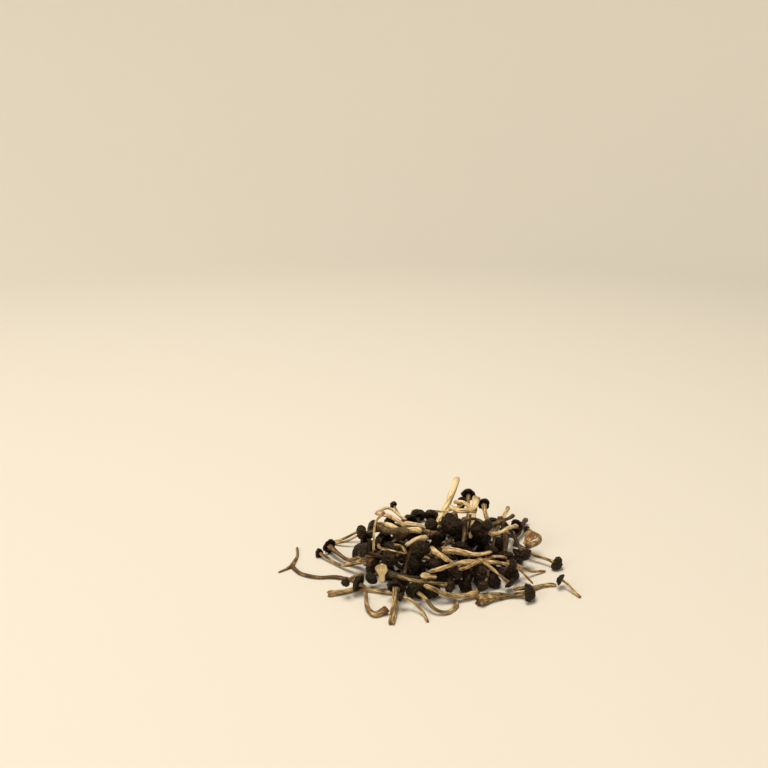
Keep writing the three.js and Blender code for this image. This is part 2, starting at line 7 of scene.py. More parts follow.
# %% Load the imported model
import math
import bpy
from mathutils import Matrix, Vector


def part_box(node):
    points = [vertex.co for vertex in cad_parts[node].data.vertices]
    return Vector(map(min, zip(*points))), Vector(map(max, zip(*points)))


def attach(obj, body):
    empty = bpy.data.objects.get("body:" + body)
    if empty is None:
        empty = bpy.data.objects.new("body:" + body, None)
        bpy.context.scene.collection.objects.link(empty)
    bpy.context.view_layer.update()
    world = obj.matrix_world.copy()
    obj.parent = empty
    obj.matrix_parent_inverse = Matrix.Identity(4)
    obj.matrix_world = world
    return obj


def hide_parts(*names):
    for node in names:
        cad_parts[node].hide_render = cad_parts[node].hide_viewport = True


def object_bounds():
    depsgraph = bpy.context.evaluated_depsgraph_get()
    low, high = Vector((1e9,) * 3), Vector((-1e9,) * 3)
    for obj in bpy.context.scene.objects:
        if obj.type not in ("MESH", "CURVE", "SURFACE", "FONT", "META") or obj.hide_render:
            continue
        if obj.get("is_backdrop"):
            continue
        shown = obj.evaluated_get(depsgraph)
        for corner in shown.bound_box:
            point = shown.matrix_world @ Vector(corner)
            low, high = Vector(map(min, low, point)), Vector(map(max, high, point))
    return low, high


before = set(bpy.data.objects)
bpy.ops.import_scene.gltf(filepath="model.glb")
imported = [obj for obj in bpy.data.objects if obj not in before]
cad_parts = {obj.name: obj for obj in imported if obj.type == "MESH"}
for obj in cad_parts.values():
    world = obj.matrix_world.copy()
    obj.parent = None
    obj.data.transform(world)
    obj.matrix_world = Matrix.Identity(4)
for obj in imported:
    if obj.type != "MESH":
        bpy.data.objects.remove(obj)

from types import SimpleNamespace

import bpy
import numpy as np
from mathutils import Vector, noise

packed_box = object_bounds()
MM = 0.001
print("packed nodes:", len(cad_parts))

# %% [markdown]
# ## The camera
# It looks down on the heap from the front, a little from the left, as the photograph does. A camera
# could be aimed by eye, but its place, tilt and lens were worked out once and are written down here,
# so that a change to the scene never moves the view by accident.

# %% Set the camera
CAMERA_AT = (-23.462, -404.990, 251.58)
CAMERA_DOWN = 18.8466  # degrees below the horizon
CAMERA_LENS = 36.91
SENSOR_WIDTH = 36.0
SEEN_FROM = 0.01  # metres
SEEN_TO = 20.0

camera_data = bpy.data.cameras.new("camera")
camera_data.lens = CAMERA_LENS
camera_data.sensor_width = SENSOR_WIDTH
camera_data.clip_start = SEEN_FROM
camera_data.clip_end = SEEN_TO
camera = bpy.data.objects.new("camera", camera_data)
camera.location = [MM * value for value in CAMERA_AT]
camera.rotation_euler = (math.radians(90.0 - CAMERA_DOWN), 0.0, 0.0)
bpy.context.scene.collection.objects.link(camera)
bpy.context.scene.camera = camera
print("camera lens", camera_data.lens)

# %% [markdown]
# ## The rules that every mushroom follows
# The heap is laid by a rule, not placed by eye. Each mushroom is given as a plan seen from above, and
# bends gently over those that already lie there.

# %% Numbers of the rule
GAP = 0.3  # left between mushrooms that touch
STATION = 1.4  # a step along a stem
DROOP = 0.45  # the steepest sag of a stem between two rests
BEND = 1 / 18  # the sharpest bend, as one over its radius
LEAN = 0.45  # the steepest lie of a whole stem
FLAT = 0.86  # the height of a dried stem as a share of its width
HOOK = 9.0  # the length of stem that turns up before a cap
TAPER = 1.6  # how soon a stem reaches the width of its neck
ROUNDS = 5  # how often the heights are worked out again
START_HEIGHT = 20.0
WINDOW = 3  # points on each side that smooth a line
CURVE_DIVISIONS = 400
HEAP_MIDDLE = np.array([11.65, -42.35, 0.0])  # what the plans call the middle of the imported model
TWIST = 0.05  # radians of a stem's ridges for each millimetre
RIDGE = 0.12
FOOT_CUT = 0.7
RIM_WAVE = 0.05
RIM_WAVES = 3
UP = np.array([0.0, 0.0, 1.0])

# The balls that a cap needs clear round it: height, distance out, radius, how many
ROOM = {
    "button": [(0.42, 0.0, 1.0, 1)],
    "bell": [(0.2, 0.68, 0.38, 12), (0.32, 0.0, 0.62, 1)],
    "disc": [(0.1, 0.72, 0.34, 12), (0.1, 0.0, 0.45, 1)],
}
SEAT = {"button": 0.42, "bell": 0.2, "disc": 0.1}  # how deep in its cap a stem ends
print("forms of cap:", ", ".join(ROOM))

# %% A repeatable draw
FULL = 0xFFFFFFFF
STRIDE = 0x6D2B79F5


def seeded(seed):
    """Draws from 0 to 1 that are the same in every run, and in the program that made the solids."""
    state = seed

    def draw():
        nonlocal state
        state = (state + STRIDE) & FULL
        mixed = ((state ^ (state >> 15)) * (state | 1)) & FULL
        mixed ^= (mixed + (((mixed ^ (mixed >> 7)) * (mixed | 61)) & FULL)) & FULL
        return ((mixed ^ (mixed >> 14)) & FULL) / (FULL + 1)
    return draw


print("a first draw:", round(seeded(1)(), 3))

# %% A mushroom and a piece
pieces = []


def mushroom(plan, foot, neck, cap=0.0, form=None, up=0.0, broad=0.0):
    """A stem with or without a cap: its plan from the foot, its radii, and its cap's radius and form."""
    return SimpleNamespace(plan=plan, foot=foot, neck=neck, cap=cap, form=form, up=up, broad=broad)


def lay(name, kind, stems, prop=None):
    """Adds a piece to the heap, in the order in which it lies. A prop is the slope of one that leans."""
    pieces.append(SimpleNamespace(name=name, kind=kind, stems=stems, prop=prop))


print("the heap is empty:", not pieces)

# %% [markdown]
# ## The mushrooms, in the order in which they lie
# Each call lays one piece: a loose mushroom, a broken stem, or a clump that shares its foot. The plans
# are seen from above, from the foot to the cap. Scattering them by chance would be less work, but the
# heap would then only look like some heap. What nobody can see is left to chance: the clumps inside.

# %% A slice at the bottom
lay("slice_under_middle", "slice", [
    mushroom([(8, -34), (22, -35)], 1.1, 1.1, broad=4.5),
])

print("pieces so far:", len(pieces))

# %% Clumps that the heap hides
# Mushrooms that spread from one foot, of drawn lengths and sizes
HIDDEN_CLUMPS = [(-8, -34), (18, -48), (46, -42), (48, -10), (12, -12)]
HIDDEN = {
    "mushrooms": 6, "uneven": 0.35, "curved": 0.5, "foot": 1.7, "neck": 1.2,
    "length": (12, 26), "cap": (3.8, 5.0), "up": (0.2, 0.7),
}
# More of their mushrooms, that fill the gaps between the others: clump, x, y
HIDDEN_FILLERS = [
    (4, 10, 12), (3, 58, -26), (1, 14, -74), (1, 5, -74), (2, 49, -64),
    (0, -21, -32), (3, 41, -24), (0, -12, -17), (0, -18, -51),
]
FILLER = {"cap": 4.8, "up": 0.4}
HIDDEN_SEED = 26
hidden_draw = seeded(HIDDEN_SEED)


def between(span):
    """A drawn value between two ends."""
    return span[0] + (span[1] - span[0]) * hidden_draw()


for clump, (x, y) in enumerate(HIDDEN_CLUMPS):
    turn = 2 * math.pi * hidden_draw()
    stems = []
    for k in range(HIDDEN["mushrooms"]):
        way = turn + 2 * math.pi * (k + HIDDEN["uneven"] * (hidden_draw() - 0.5)) / HIDDEN["mushrooms"]
        length = between(HIDDEN["length"])
        end = way + HIDDEN["curved"] * (hidden_draw() - 0.5)
        cap = between(HIDDEN["cap"])
        up = between(HIDDEN["up"])
        half = (x + 0.5 * length * math.cos(way), y + 0.5 * length * math.sin(way))
        tip = (x + length * math.cos(end), y + length * math.sin(end))
        form = "bell" if k % 2 else "button"
        stems.append(mushroom([(x, y), half, tip], HIDDEN["foot"], HIDDEN["neck"], cap, form, up))
    for owner, tip_x, tip_y in HIDDEN_FILLERS:
        if owner == clump:
            plan = [(x, y), ((x + tip_x) / 2, (y + tip_y) / 2), (tip_x, tip_y)]
            sizes = (HIDDEN["foot"], HIDDEN["neck"], FILLER["cap"])
            stems.append(mushroom(plan, *sizes, "button", FILLER["up"]))
    lay(f"clump_under_{clump + 1}", "clump", stems)

print("pieces so far:", len(pieces))

# %% Round the edge, on the surface
lay("stem_forked", "stem", [
    mushroom([(-66, -44), (-60, -52), (-50, -56), (-39, -56), (-25, -61)], 1.1, 1.2),
    mushroom([(-66, -44), (-64, -33), (-65, -23)], 1.1, 0.9),
    mushroom([(-66, -44), (-69, -47), (-73, -50)], 0.9, 0.6),
])
lay("clump_left_pair", "stem", [
    mushroom([(-19, -56), (-26, -46), (-32, -42), (-40, -35), (-45, -28)], 2.4, 1.5, 4.4, "disc"),
    mushroom([(-19, -56), (-23, -54), (-33, -48), (-46, -37), (-51, -32)], 2.2, 0.9, 2.8, "button"),
])
lay("mushroom_front_long", "stem", [
    mushroom([(-42, -73), (-34, -71), (-26, -68), (-16, -70), (-6, -72), (-2, -72)], 1.6, 1.4, 2.9, "bell"),
])
lay("mushroom_front_hook", "stem", [
    mushroom([(-11, -89), (-17, -92), (-21, -85), (-22, -75), (-26, -71)], 2.0, 1.1, 4.3, "bell"),
])
lay("mushroom_front_button", "stem", [
    mushroom([(-24, -64), (-29, -69), (-33, -75)], 1.0, 0.9, 2.5, "button"),
])
lay("mushroom_front_upright", "stem", [
    mushroom([(-8, -99), (-7, -92), (-6, -84), (-5, -77)], 1.4, 1.6, 5.2, "bell", up=0.3),
])
lay("mushroom_front_thin", "stem", [
    mushroom([(11, -97), (9, -92), (5, -88), (1, -86), (-3, -86)], 0.8, 0.9, 2.4, "button"),
])
lay("mushroom_front_bow", "stem", [
    mushroom([(27, -80), (27, -84), (22, -90), (15, -90), (9, -84), (6, -81)], 1.2, 1.1, 3.6, "disc"),
])
lay("stem_front", "stem", [mushroom([(39, -74), (31, -78), (21, -80), (10, -79)], 2.5, 1.2)])
lay("mushroom_front_lying", "stem", [
    mushroom([(-4, -77), (6, -77), (14, -76), (20, -76), (24, -76)], 1.1, 1.0, 3.7, "button"),
])
lay("mushroom_right_thick", "stem", [
    mushroom([(40, -81), (48, -77), (57, -75), (63, -75), (68, -77)], 3.2, 1.5, 4.8, "bell", up=0.4),
])
lay("stem_right_arch", "stem", [
    mushroom([(60, -75), (67, -71), (75, -66), (81, -64), (85, -64)], 1.1, 1.2),
])
lay("mushroom_right_thin", "stem", [
    mushroom([(96, -75), (93, -71), (90, -67), (87, -65)], 0.7, 0.8, 3.1, "bell"),
])
lay("mushroom_right_button", "stem", [
    mushroom([(66, -34), (73, -36), (79, -39), (85, -43), (89, -46)], 1.6, 0.9, 3.9, "button"),
])
lay("mushroom_right_hook", "stem", [
    mushroom([(76, -22), (84, -16), (86, -9), (82, -5), (79, -2)], 1.5, 1.0, 2.3, "button"),
])
lay("stem_right_dark", "stem", [mushroom([(80, 7), (74, -8), (62, -26), (53, -32)], 1.7, 1.4)])
lay("stem_right_orange", "stem", [mushroom([(74, -8), (66, -15), (56, -22), (48, -25)], 1.2, 1.0)])
lay("clump_right_red_pair", "stem", [
    mushroom([(58, -55), (67, -56), (76, -52), (82, -49)], 0.8, 0.8),
    mushroom([(58, -55), (65, -59), (72, -64)], 0.8, 0.6),
])
lay("clump_left_lean_pair", "stem", [
    mushroom([(-45, -17), (-37, -20), (-22, -21)], 1.0, 0.8),
    mushroom([(-45, -17), (-34, -15), (-23, -16)], 0.9, 0.8),
])

print("pieces so far:", len(pieces))

# %% Wedged in the back of the heap, so that they stand out of it
lay("stem_back_twig", "stem", [mushroom([(67, 1), (61, -12), (54, -27)], 1.4, 1.1)], -0.15)
lay("mushroom_back_right", "stem", [
    mushroom([(53, -38), (51, -28), (50, -18), (50, -9)], 1.2, 1.3, 3.9, "bell"),
], 0.2)
lay("stem_trumpet", "stem", [mushroom([(45, -10), (42, -24), (39, -38)], 2.1, 1.2)], -0.4)
lay("mushroom_back_gills", "stem", [
    mushroom([(35, -40), (38, -28), (40, -14), (41, -5)], 1.0, 1.0, 4.3, "bell"),
], 0.35)
lay("mushroom_back_pin", "stem", [
    mushroom([(6, -20), (0, -12), (-6, -2)], 0.7, 0.6, 2.4, "button"),
], 0.5)
lay("stem_pointing", "stem", [
    mushroom([(34, 2), (30, -7), (25, -17), (20, -26)], 1.9, 2.3),
], -0.6)

print("pieces so far:", len(pieces))

# %% Clumps with dark caps on their short stems
lay("clump_lower_left", "clump", [
    mushroom([(1, -46), (-10, -53), (-19, -55), (-24, -56)], 1.5, 1.1, 4.3, "bell", up=0.4),
    mushroom([(1, -46), (-8, -56), (-15, -62), (-19, -66)], 1.5, 1.0, 3.7, "button"),
])
lay("clump_left_dark", "clump", [
    mushroom([(4, -38), (-5, -36), (-14, -33)], 1.6, 1.2, 4.4, "button"),
    mushroom([(4, -38), (-2, -43), (-9, -48)], 1.6, 1.2, 4.0, "bell", up=0.5),
    mushroom([(4, -38), (1, -30), (-4, -23)], 1.6, 1.1, 3.9, "button"),
])
lay("clump_front_caps", "clump", [
    mushroom([(48, -50), (46, -60), (42, -68)], 1.4, 1.0, 3.9, "bell"),
    mushroom([(48, -50), (38, -60), (33, -70)], 1.4, 1.0, 3.9, "button"),
    mushroom([(48, -50), (46, -66), (42, -77)], 1.4, 0.9, 3.2, "button"),
    mushroom([(48, -50), (36, -62), (28, -72)], 1.4, 0.9, 3.1, "button"),
    mushroom([(48, -50), (36, -56), (26, -65)], 1.4, 0.9, 3.6, "button"),
])
lay("clump_centre_low", "clump", [
    mushroom([(6, -36), (-3, -50), (-9, -60)], 1.6, 1.1, 4.6, "bell", up=0.3),
    mushroom([(6, -36), (2, -50), (-1, -63)], 1.6, 1.0, 4.1, "button"),
    mushroom([(6, -36), (9, -49), (9, -59)], 1.6, 1.0, 4.6, "button", up=0.4),
    mushroom([(6, -36), (15, -50), (18, -63)], 1.6, 1.0, 4.1, "button"),
])
lay("clump_right_dark", "clump", [
    mushroom([(58, -26), (60, -37), (58, -47)], 1.6, 1.2, 5.6, "bell", up=0.5),
    mushroom([(58, -26), (54, -38), (50, -49)], 1.6, 1.0, 4.0, "button"),
    mushroom([(58, -26), (66, -36), (70, -46)], 1.6, 1.1, 4.4, "bell", up=0.4),
])
lay("mushroom_white_neck", "stem", [
    mushroom([(50, -44), (57, -40), (62, -35), (68, -29)], 1.3, 1.3, 4.0, "bell"),
])
lay("mushroom_round_cap", "clump", [
    mushroom([(66, -24), (62, -29), (57, -33), (51, -35), (43, -39)], 1.1, 1.1, 5.0, "button", up=0.3),
])
lay("clump_middle_caps", "clump", [
    mushroom([(36, -30), (28, -40), (20, -52)], 1.5, 1.0, 3.4, "button"),
    mushroom([(36, -30), (35, -40), (32, -50)], 1.5, 1.2, 5.2, "bell", up=0.4),
    mushroom([(36, -30), (43, -38), (47, -47)], 1.5, 1.0, 3.5, "button"),
])
lay("clump_upper_left", "clump", [
    mushroom([(0, -30), (-9, -26), (-19, -24)], 1.7, 1.2, 5.4, "bell", up=0.4),
    mushroom([(0, -30), (-12, -31), (-25, -34)], 1.7, 1.0, 4.0, "button"),
    mushroom([(0, -30), (-9, -37), (-18, -42)], 1.7, 1.0, 3.7, "button"),
])

print("pieces so far:", len(pieces))

# %% Pale stems and slices over the dark caps
lay("stem_olive", "stem", [mushroom([(-14, -66), (-3, -68), (8, -67)], 2.3, 1.9)])
lay("slice_front", "slice", [
    mushroom([(-13, -73), (-13, -66)], 0.9, 0.9, broad=3.8),
], 1.1)
lay("slice_middle", "slice", [
    mushroom([(17, -75), (8, -74)], 0.9, 0.9, broad=3.2),
])
lay("clump_hub", "stem", [
    mushroom([(43, -60), (33, -68), (24, -72), (13, -74)], 1.6, 1.3),
    mushroom([(43, -60), (37, -67), (29, -74)], 1.5, 1.1),
    mushroom([(43, -60), (50, -56), (58, -55)], 1.2, 0.9),
    mushroom([(43, -60), (51, -60), (60, -61)], 1.3, 1.1, 3.4, "button"),
    mushroom([(43, -60), (51, -65), (58, -69)], 1.2, 1.0, 3.1, "bell"),
])
lay("stem_red_twist", "stem", [
    mushroom([(12, -52), (20, -57), (28, -62), (36, -62)], 1.1, 0.9),
])
lay("stem_pale_down", "stem", [mushroom([(15, -55), (19, -62), (23, -72)], 1.4, 1.6)])
lay("stem_pale_wide", "stem", [
    mushroom([(22, -56), (31, -58), (41, -58), (49, -56)], 2.0, 1.4),
])
lay("stem_s_curve", "stem", [
    mushroom([(-15, -44), (-14, -52), (-9, -56), (0, -57)], 0.9, 0.7),
])
lay("stem_curl", "stem", [mushroom([(-8, -42), (-2, -46), (1, -55)], 0.8, 0.9)])
lay("stem_fork_pale", "stem", [mushroom([(1, -59), (6, -54), (13, -47)], 1.0, 1.7)])
lay("stem_broad", "stem", [
    mushroom([(-14, -21), (-5, -33), (5, -44), (9, -49)], 1.5, 2.1),
])
lay("stem_broad_olive", "stem", [mushroom([(-16, -30), (-7, -39), (2, -48)], 1.7, 2.5)])
lay("stem_thin_arch", "stem", [mushroom([(-12, -24), (-17, -32), (-18, -46)], 0.8, 0.7)])
lay("clump_green_pair", "stem", [
    mushroom([(15, -52), (13, -45), (11, -36)], 1.5, 1.4),
    mushroom([(15, -52), (19, -45), (19, -37)], 1.4, 1.2),
])
lay("clump_top", "clump", [
    mushroom([(31, -23), (24, -29), (16, -35)], 1.6, 1.1, 4.1, "button"),
    mushroom([(31, -23), (31, -31), (27, -38)], 1.6, 1.3, 6.2, "bell", up=0.5),
])
lay("clump_back_left_pair", "stem", [
    mushroom([(-16, -11), (-5, -20), (7, -28)], 1.5, 1.4),
    mushroom([(-16, -11), (-8, -8), (2, -16)], 1.3, 1.0),
])
lay("clump_back_pair", "stem", [
    mushroom([(18, -21), (10, -16), (1, -5)], 1.6, 1.5),
    mushroom([(18, -21), (10, -26), (-1, -32)], 1.4, 1.9),
])
lay("mushroom_bowed", "stem", [
    mushroom([(19, -31), (27, -29), (34, -23), (36, -14)], 0.8, 0.8, 3.3, "button"),
])
lay("clump_back_diagonal", "stem", [
    mushroom([(41, -38), (36, -27), (31, -19)], 1.5, 1.4),
    mushroom([(41, -38), (33, -35), (27, -29)], 1.7, 1.5),
])
lay("flake_right", "stem", [
    mushroom([(72, -36), (78, -27)], 0.8, 0.8, broad=4.2),
], 0.35)

print("pieces:", len(pieces), "mushrooms:", sum(len(piece.stems) for piece in pieces))

# %% [markdown]
# ## Laying the heap
# A real heap lies as it fell: each mushroom rests on those below it and sags a little between them. A
# physics run could drop them, but none would land where the real one lies. So each keeps its plan, and
# only its heights are worked out: its room is a row of balls along its stem and round its cap, and it
# follows the lowest gently bent line that keeps those balls clear of all that lies there already.

# %% Smooth curves and directions


def spline(points, at):
    """Points of a smooth curve through the given points. A whole number of at is a given point."""
    ends = np.vstack([2 * points[0] - points[1], points, 2 * points[-1] - points[-2]])
    k = np.clip(np.floor(at).astype(int), 0, len(points) - 2)
    t = (at - k)[:, None]
    a, b, c, d = ends[k], ends[k + 1], ends[k + 2], ends[k + 3]
    bend = 2 * a - 5 * b + 4 * c - d
    turn_over = 3 * b - a - 3 * c + d
    return 0.5 * (2 * b + (c - a) * t + bend * t ** 2 + turn_over * t ** 3)


def directions(ahead):
    """Unit directions along a stem, to its side and to its top."""
    ahead = ahead / np.linalg.norm(ahead, axis=-1, keepdims=True)
    side = np.cross(ahead, UP)
    side = side / np.linalg.norm(side, axis=-1, keepdims=True)
    return ahead, side, np.cross(side, ahead)


def line_directions(line):
    """The directions at each point of a line."""
    before = line[np.maximum(0, np.arange(len(line)) - 1)]
    after = line[np.minimum(len(line) - 1, np.arange(len(line)) + 1)]
    return directions(after - before)


def cap_directions(line):
    """The directions of the cap at the end of a stem."""
    return directions(line[-1] - line[max(0, len(line) - 3)])


print("to the side and top of a stem along X:", *directions(np.array([1.0, 0.0, 0.0]))[1:])

# %% The room of one mushroom
SLICE_FOOT = 0.45  # the breadth of a slice at its foot, as a share
SLICE_WIDENS = 0.3  # where along the slice its stem turns into its cap
SLICE_WIDENS_OVER = 0.4
SLICE_ROUNDED = 0.8
SLICE_ROUNDS_LATE = 6
SLICE_BALLS = (-1, -0.5, 0.5, 1)


def prepare(stem):
    """Points at even steps along the plan, with the radius and the turned-up rise at each."""
    seat = SEAT[stem.form] * stem.cap if stem.form else 0.0
    points = np.array(stem.plan, float)
    grid = np.linspace(0, len(points) - 1, CURVE_DIVISIONS + 1)
    steps = np.linalg.norm(np.diff(spline(points, grid), axis=0), axis=1)
    far = np.concatenate([[0], np.cumsum(steps)])
    stem.length = far[-1] - seat
    count = max(2, math.ceil(stem.length / STATION))
    stem.along = stem.length * np.arange(count + 1) / count
    stem.points = spline(points, np.interp(stem.along, far, grid))
    stem.radius = stem.foot + (stem.neck - stem.foot) * np.minimum(1, TAPER * stem.along / stem.length)
    hook = min(stem.length, HOOK)
    stem.rise = stem.up * hook / 2 * np.maximum(0, (stem.along - stem.length + hook) / hook) ** 2
    stem.floor_share = 1.0 if stem.broad else FLAT


def slice_breadth(stem, far):
    """Half the breadth of a cut slice: its stem at the foot, widening to its rounded cap."""
    t = far / stem.length
    s = np.clip((t - SLICE_WIDENS) / SLICE_WIDENS_OVER, 0, 1)
    share = SLICE_FOOT + (1 - SLICE_FOOT) * s * s * (3 - 2 * s)
    return stem.broad * share * np.sqrt(1 - SLICE_ROUNDED * t ** SLICE_ROUNDS_LATE)


def balls(stem, heights):
    """The room that a mushroom takes: middles, radii, and the point of the stem that each hangs on."""
    line = np.column_stack([stem.points, heights])
    count = len(line)
    middles = [line]
    radii = [stem.radius]
    stations = [np.arange(count)]
    if stem.broad:
        side = line_directions(line)[1]
        for part in SLICE_BALLS:
            reach = part * (slice_breadth(stem, stem.along) - stem.radius)
            middles.append(line + side * reach[:, None])
            radii.append(stem.radius)
            stations.append(np.arange(count))
    if stem.form:
        ahead, side, top = cap_directions(line)
        for height, out, radius, number in ROOM[stem.form]:
            turn = 2 * math.pi * np.arange(number)[:, None] / number
            reach = height * ahead + out * (np.cos(turn) * side + np.sin(turn) * top)
            middles.append(line[-1] + stem.cap * reach)
            radii.append(np.full(number, radius * stem.cap))
            stations.append(np.full(number, count - 1))
    return np.vstack(middles), np.concatenate(radii), np.concatenate(stations)


for piece in pieces:
    for stem in piece.stems:
        prepare(stem)
print("longest stem:", round(max(stem.length for piece in pieces for stem in piece.stems), 1), "mm")

# %% Heights that keep clear


def clear_heights(middles, radii, lying, floor_share):
    """The lowest height at which each ball is clear of the surface and of all that lies there."""
    heights = radii * floor_share
    if len(lying):
        apart = ((middles[:, None, :2] - lying[None, :, :2]) ** 2).sum(axis=2)
        reach = (radii[:, None] + lying[None, :, 3] + GAP) ** 2
        over = lying[None, :, 2] + np.sqrt(np.maximum(0, reach - apart))
        heights = np.maximum(heights, np.where(apart < reach, over, -np.inf).max(axis=1))
    return heights


def drape(along, needs):
    """The lowest gently bent line over the heights that a stem needs."""
    offset = along - along.mean()
    slope = np.clip((offset * (needs - needs.mean())).sum() / (offset ** 2).sum(), -LEAN, LEAN)
    apart = np.abs(along[:, None] - along[None, :])
    turning = DROOP / BEND
    fall = np.where(apart < turning, BEND * apart ** 2 / 2, DROOP * apart - DROOP * turning / 2)
    tent = ((needs - slope * along)[None, :] - fall).max(axis=1)
    padded = np.concatenate([np.full(WINDOW, tent[0]), tent, np.full(WINDOW, tent[-1])])
    smooth = np.convolve(padded, np.full(2 * WINDOW + 1, 1 / (2 * WINDOW + 1)), "valid")
    return smooth + (tent - smooth).max() + slope * along


def settle(stem, lying, prop):
    """The heights along one stem, laid on what already lies there."""
    heights = np.full(len(stem.along), START_HEIGHT)
    for _ in range(ROUNDS):
        middles, radii, stations = balls(stem, heights)
        lowest = clear_heights(middles, radii, lying, stem.floor_share)
        needs = np.full(len(stem.along), -np.inf)
        np.maximum.at(needs, stations, lowest - (middles[:, 2] - heights[stations]))
        wanted = needs - stem.rise
        if prop is None:
            heights = drape(stem.along, wanted) + stem.rise
        else:
            heights = (wanted - prop * stem.along).max() + prop * stem.along + stem.rise
    return heights


def settle_piece(piece, lying):
    """One piece laid down: its mushrooms share the height of their foot, and all are lifted clear."""
    settled = [settle(stem, lying, piece.prop) for stem in piece.stems]
    foot = max(heights[0] for heights in settled)
    lift = -math.inf
    for k, stem in enumerate(piece.stems):
        t = stem.along / stem.length
        settled[k] = settled[k] + (foot - settled[k][0]) * (1 - t) ** 2 * (1 + 2 * t)
        middles, radii, _ = balls(stem, settled[k])
        lowest = clear_heights(middles, radii, lying, stem.floor_share)
        lift = max(lift, (lowest - middles[:, 2]).max())
    return [heights + lift for heights in settled]


print("room of the first slice:", len(balls(pieces[0].stems[0], pieces[0].stems[0].rise)[1]), "balls")

# %% Lay every piece
RIDGE_SEED = 5

lying = np.zeros((0, 4))
ridge_draw = seeded(RIDGE_SEED)
for piece in pieces:
    for stem, heights in zip(piece.stems, settle_piece(piece, lying)):
        middles, radii, _ = balls(stem, heights)
        lying = np.vstack([lying, np.column_stack([middles, radii])])
        stem.line = np.column_stack([stem.points, heights]) - HEAP_MIDDLE
        stem.ridge_turn = 2 * math.pi * ridge_draw()
summit = max(stem.line[:, 2].max() for piece in pieces for stem in piece.stems)
print("top of the heap:", round(summit, 1), "mm")

# %% [markdown]
# ## How each piece looks
# No two dried mushrooms have the same colour, and the eye finds its way in the heap by that. One
# random tone for each would be easy, but here the tones are the real ones, save the stems of clumps,
# which are darker as painted shade deep in the heap. The first number runs from pale cream through tan
# and grey to dark olive. The second is the share of reddish brown, which this mushroom shows where it
# was cut or torn.

# %% Tone and red of each piece
LOOK = {
    "stem_forked": (0.66, 0.2), "clump_left_pair": (0.56, 0.1), "mushroom_front_long": (0.32, 0.1),
    "mushroom_front_hook": (0.56, 0.2), "mushroom_front_upright": (0.46, 0.05),
    "mushroom_front_thin": (0.36, 0.15), "mushroom_front_bow": (0.5, 0.05), "stem_front": (0.32, 0.1),
    "mushroom_front_lying": (0.42, 0.05), "mushroom_right_thick": (0.56, 0.03),
    "stem_right_arch": (0.5, 0.05), "mushroom_right_thin": (0.34, 0.1),
    "mushroom_right_button": (0.46, 0.05), "mushroom_right_hook": (0.5, 0.2),
    "stem_right_dark": (0.88, 0.05), "stem_right_orange": (0.3, 0.45), "clump_right_red_pair": (0.42, 0.5),
    "clump_left_lean_pair": (0.42, 0.1), "stem_back_twig": (0.22, 0.15),
    "mushroom_back_right": (0.34, 0.05),
    "stem_trumpet": (0.06, 0.12), "mushroom_back_gills": (0.42, 0.05), "mushroom_back_pin": (0.5, 0.2),
    "stem_pointing": (0.0, 0.06), "mushroom_white_neck": (0.28, 0.05), "stem_olive": (0.82, 0.0),
    "clump_hub": (0.42, 0.12), "stem_red_twist": (0.3, 0.6), "stem_pale_down": (0.26, 0.05),
    "stem_pale_wide": (0.3, 0.12), "stem_s_curve": (0.36, 0.1), "stem_curl": (0.4, 0.1),
    "stem_fork_pale": (0.04, 0.05), "stem_broad": (0.06, 0.15), "stem_broad_olive": (0.66, 0.05),
    "stem_thin_arch": (0.32, 0.2), "clump_green_pair": (0.62, 0.05), "clump_back_left_pair": (0.08, 0.3),
    "clump_back_pair": (0.04, 0.15), "clump_back_diagonal": (0.2, 0.1), "mushroom_bowed": (0.32, 0.1),
    "flake_right": (0.5, 0.5),
}
# Stems of the clumps: a darker tone than loose stems, as painted shade among the dark caps
CLUMP_SHADED_LOOK = (0.74, 0.12)  # short stems between dark caps
# Stems of the hidden clumps: the darkest tone, as painted shade inside the heap
HIDDEN_SHADED_LOOK = (0.95, 0.1)
print("looks:", len(LOOK))

# %% [markdown]
# ## Skins
# A stem, a cap and a slice are each a closed skin over rings of points along or round their middle. They
# could be sculpted, or be tubes with a displacement, but a hundred and more are needed, each different.
# So one function makes each sort, and a seeded draw sets its waves. The points also carry their place
# in millimetres on the mushroom and a few marks, which the materials read.

# %% A closed skin over rings
MARKS = ("relief", "foot", "tone", "red", "rim", "gill")
GRAIN_APART = 61.0  # between the patterns of one mushroom and the next
FINE = {"stem_sides": 26, "stem_step": 0.55, "cap_sides": 56, "cap_rings": 40}
COARSE = {"stem_sides": 14, "stem_step": 1.1, "cap_sides": 30, "cap_rings": 22}


def skin(rings, first_pole, last_pole):
    """The points and faces of a closed skin over rings of equally many points."""
    count, sides = rings.shape[:2]
    points = np.vstack([[first_pole], rings.reshape(-1, 3), [last_pole]])
    k = np.arange(sides)
    after = (k + 1) % sides
    faces = [(0, 1 + a, 1 + b) for a, b in zip(k, after)]
    for n in range(count - 1):
        start = 1 + n * sides
        faces += list(zip(start + k, start + sides + k, start + sides + after, start + after))
    start = 1 + (count - 1) * sides
    faces += [(len(points) - 1, start + b, start + a) for a, b in zip(k, after)]
    return points, faces


def spread(values, first, last):
    """A value for every point of a skin, from the values of its rings and its two poles."""
    return np.concatenate([[first], values.reshape(-1), [last]])


def fade(far, reach):
    """A share that fades from 1 with the distance from an end."""
    return np.exp(-(far / reach) ** 2)


def sway(waves, far, phases):
    """Slow waves along a stem, each given as a share and a length in millimetres."""
    return sum(share * np.sin(far / length + phase) for (share, length), phase in zip(waves, phases))


def phases_of(draw, count):
    """Drawn starts of as many waves."""
    return [2 * math.pi * draw() for _ in range(count)]


print("a fade at its reach:", round(float(fade(1.0, 1.0)), 2))

# %% [markdown]
# ## Dried stems
# A stem loses nine tenths of its weight as it dries, so its skin folds into creases that run along it
# and twist a little, its width comes and goes, and its foot is torn. Creases in a bump map would be
# cheap, but a dried stem is so thin that they break its outline, so they are in the mesh.

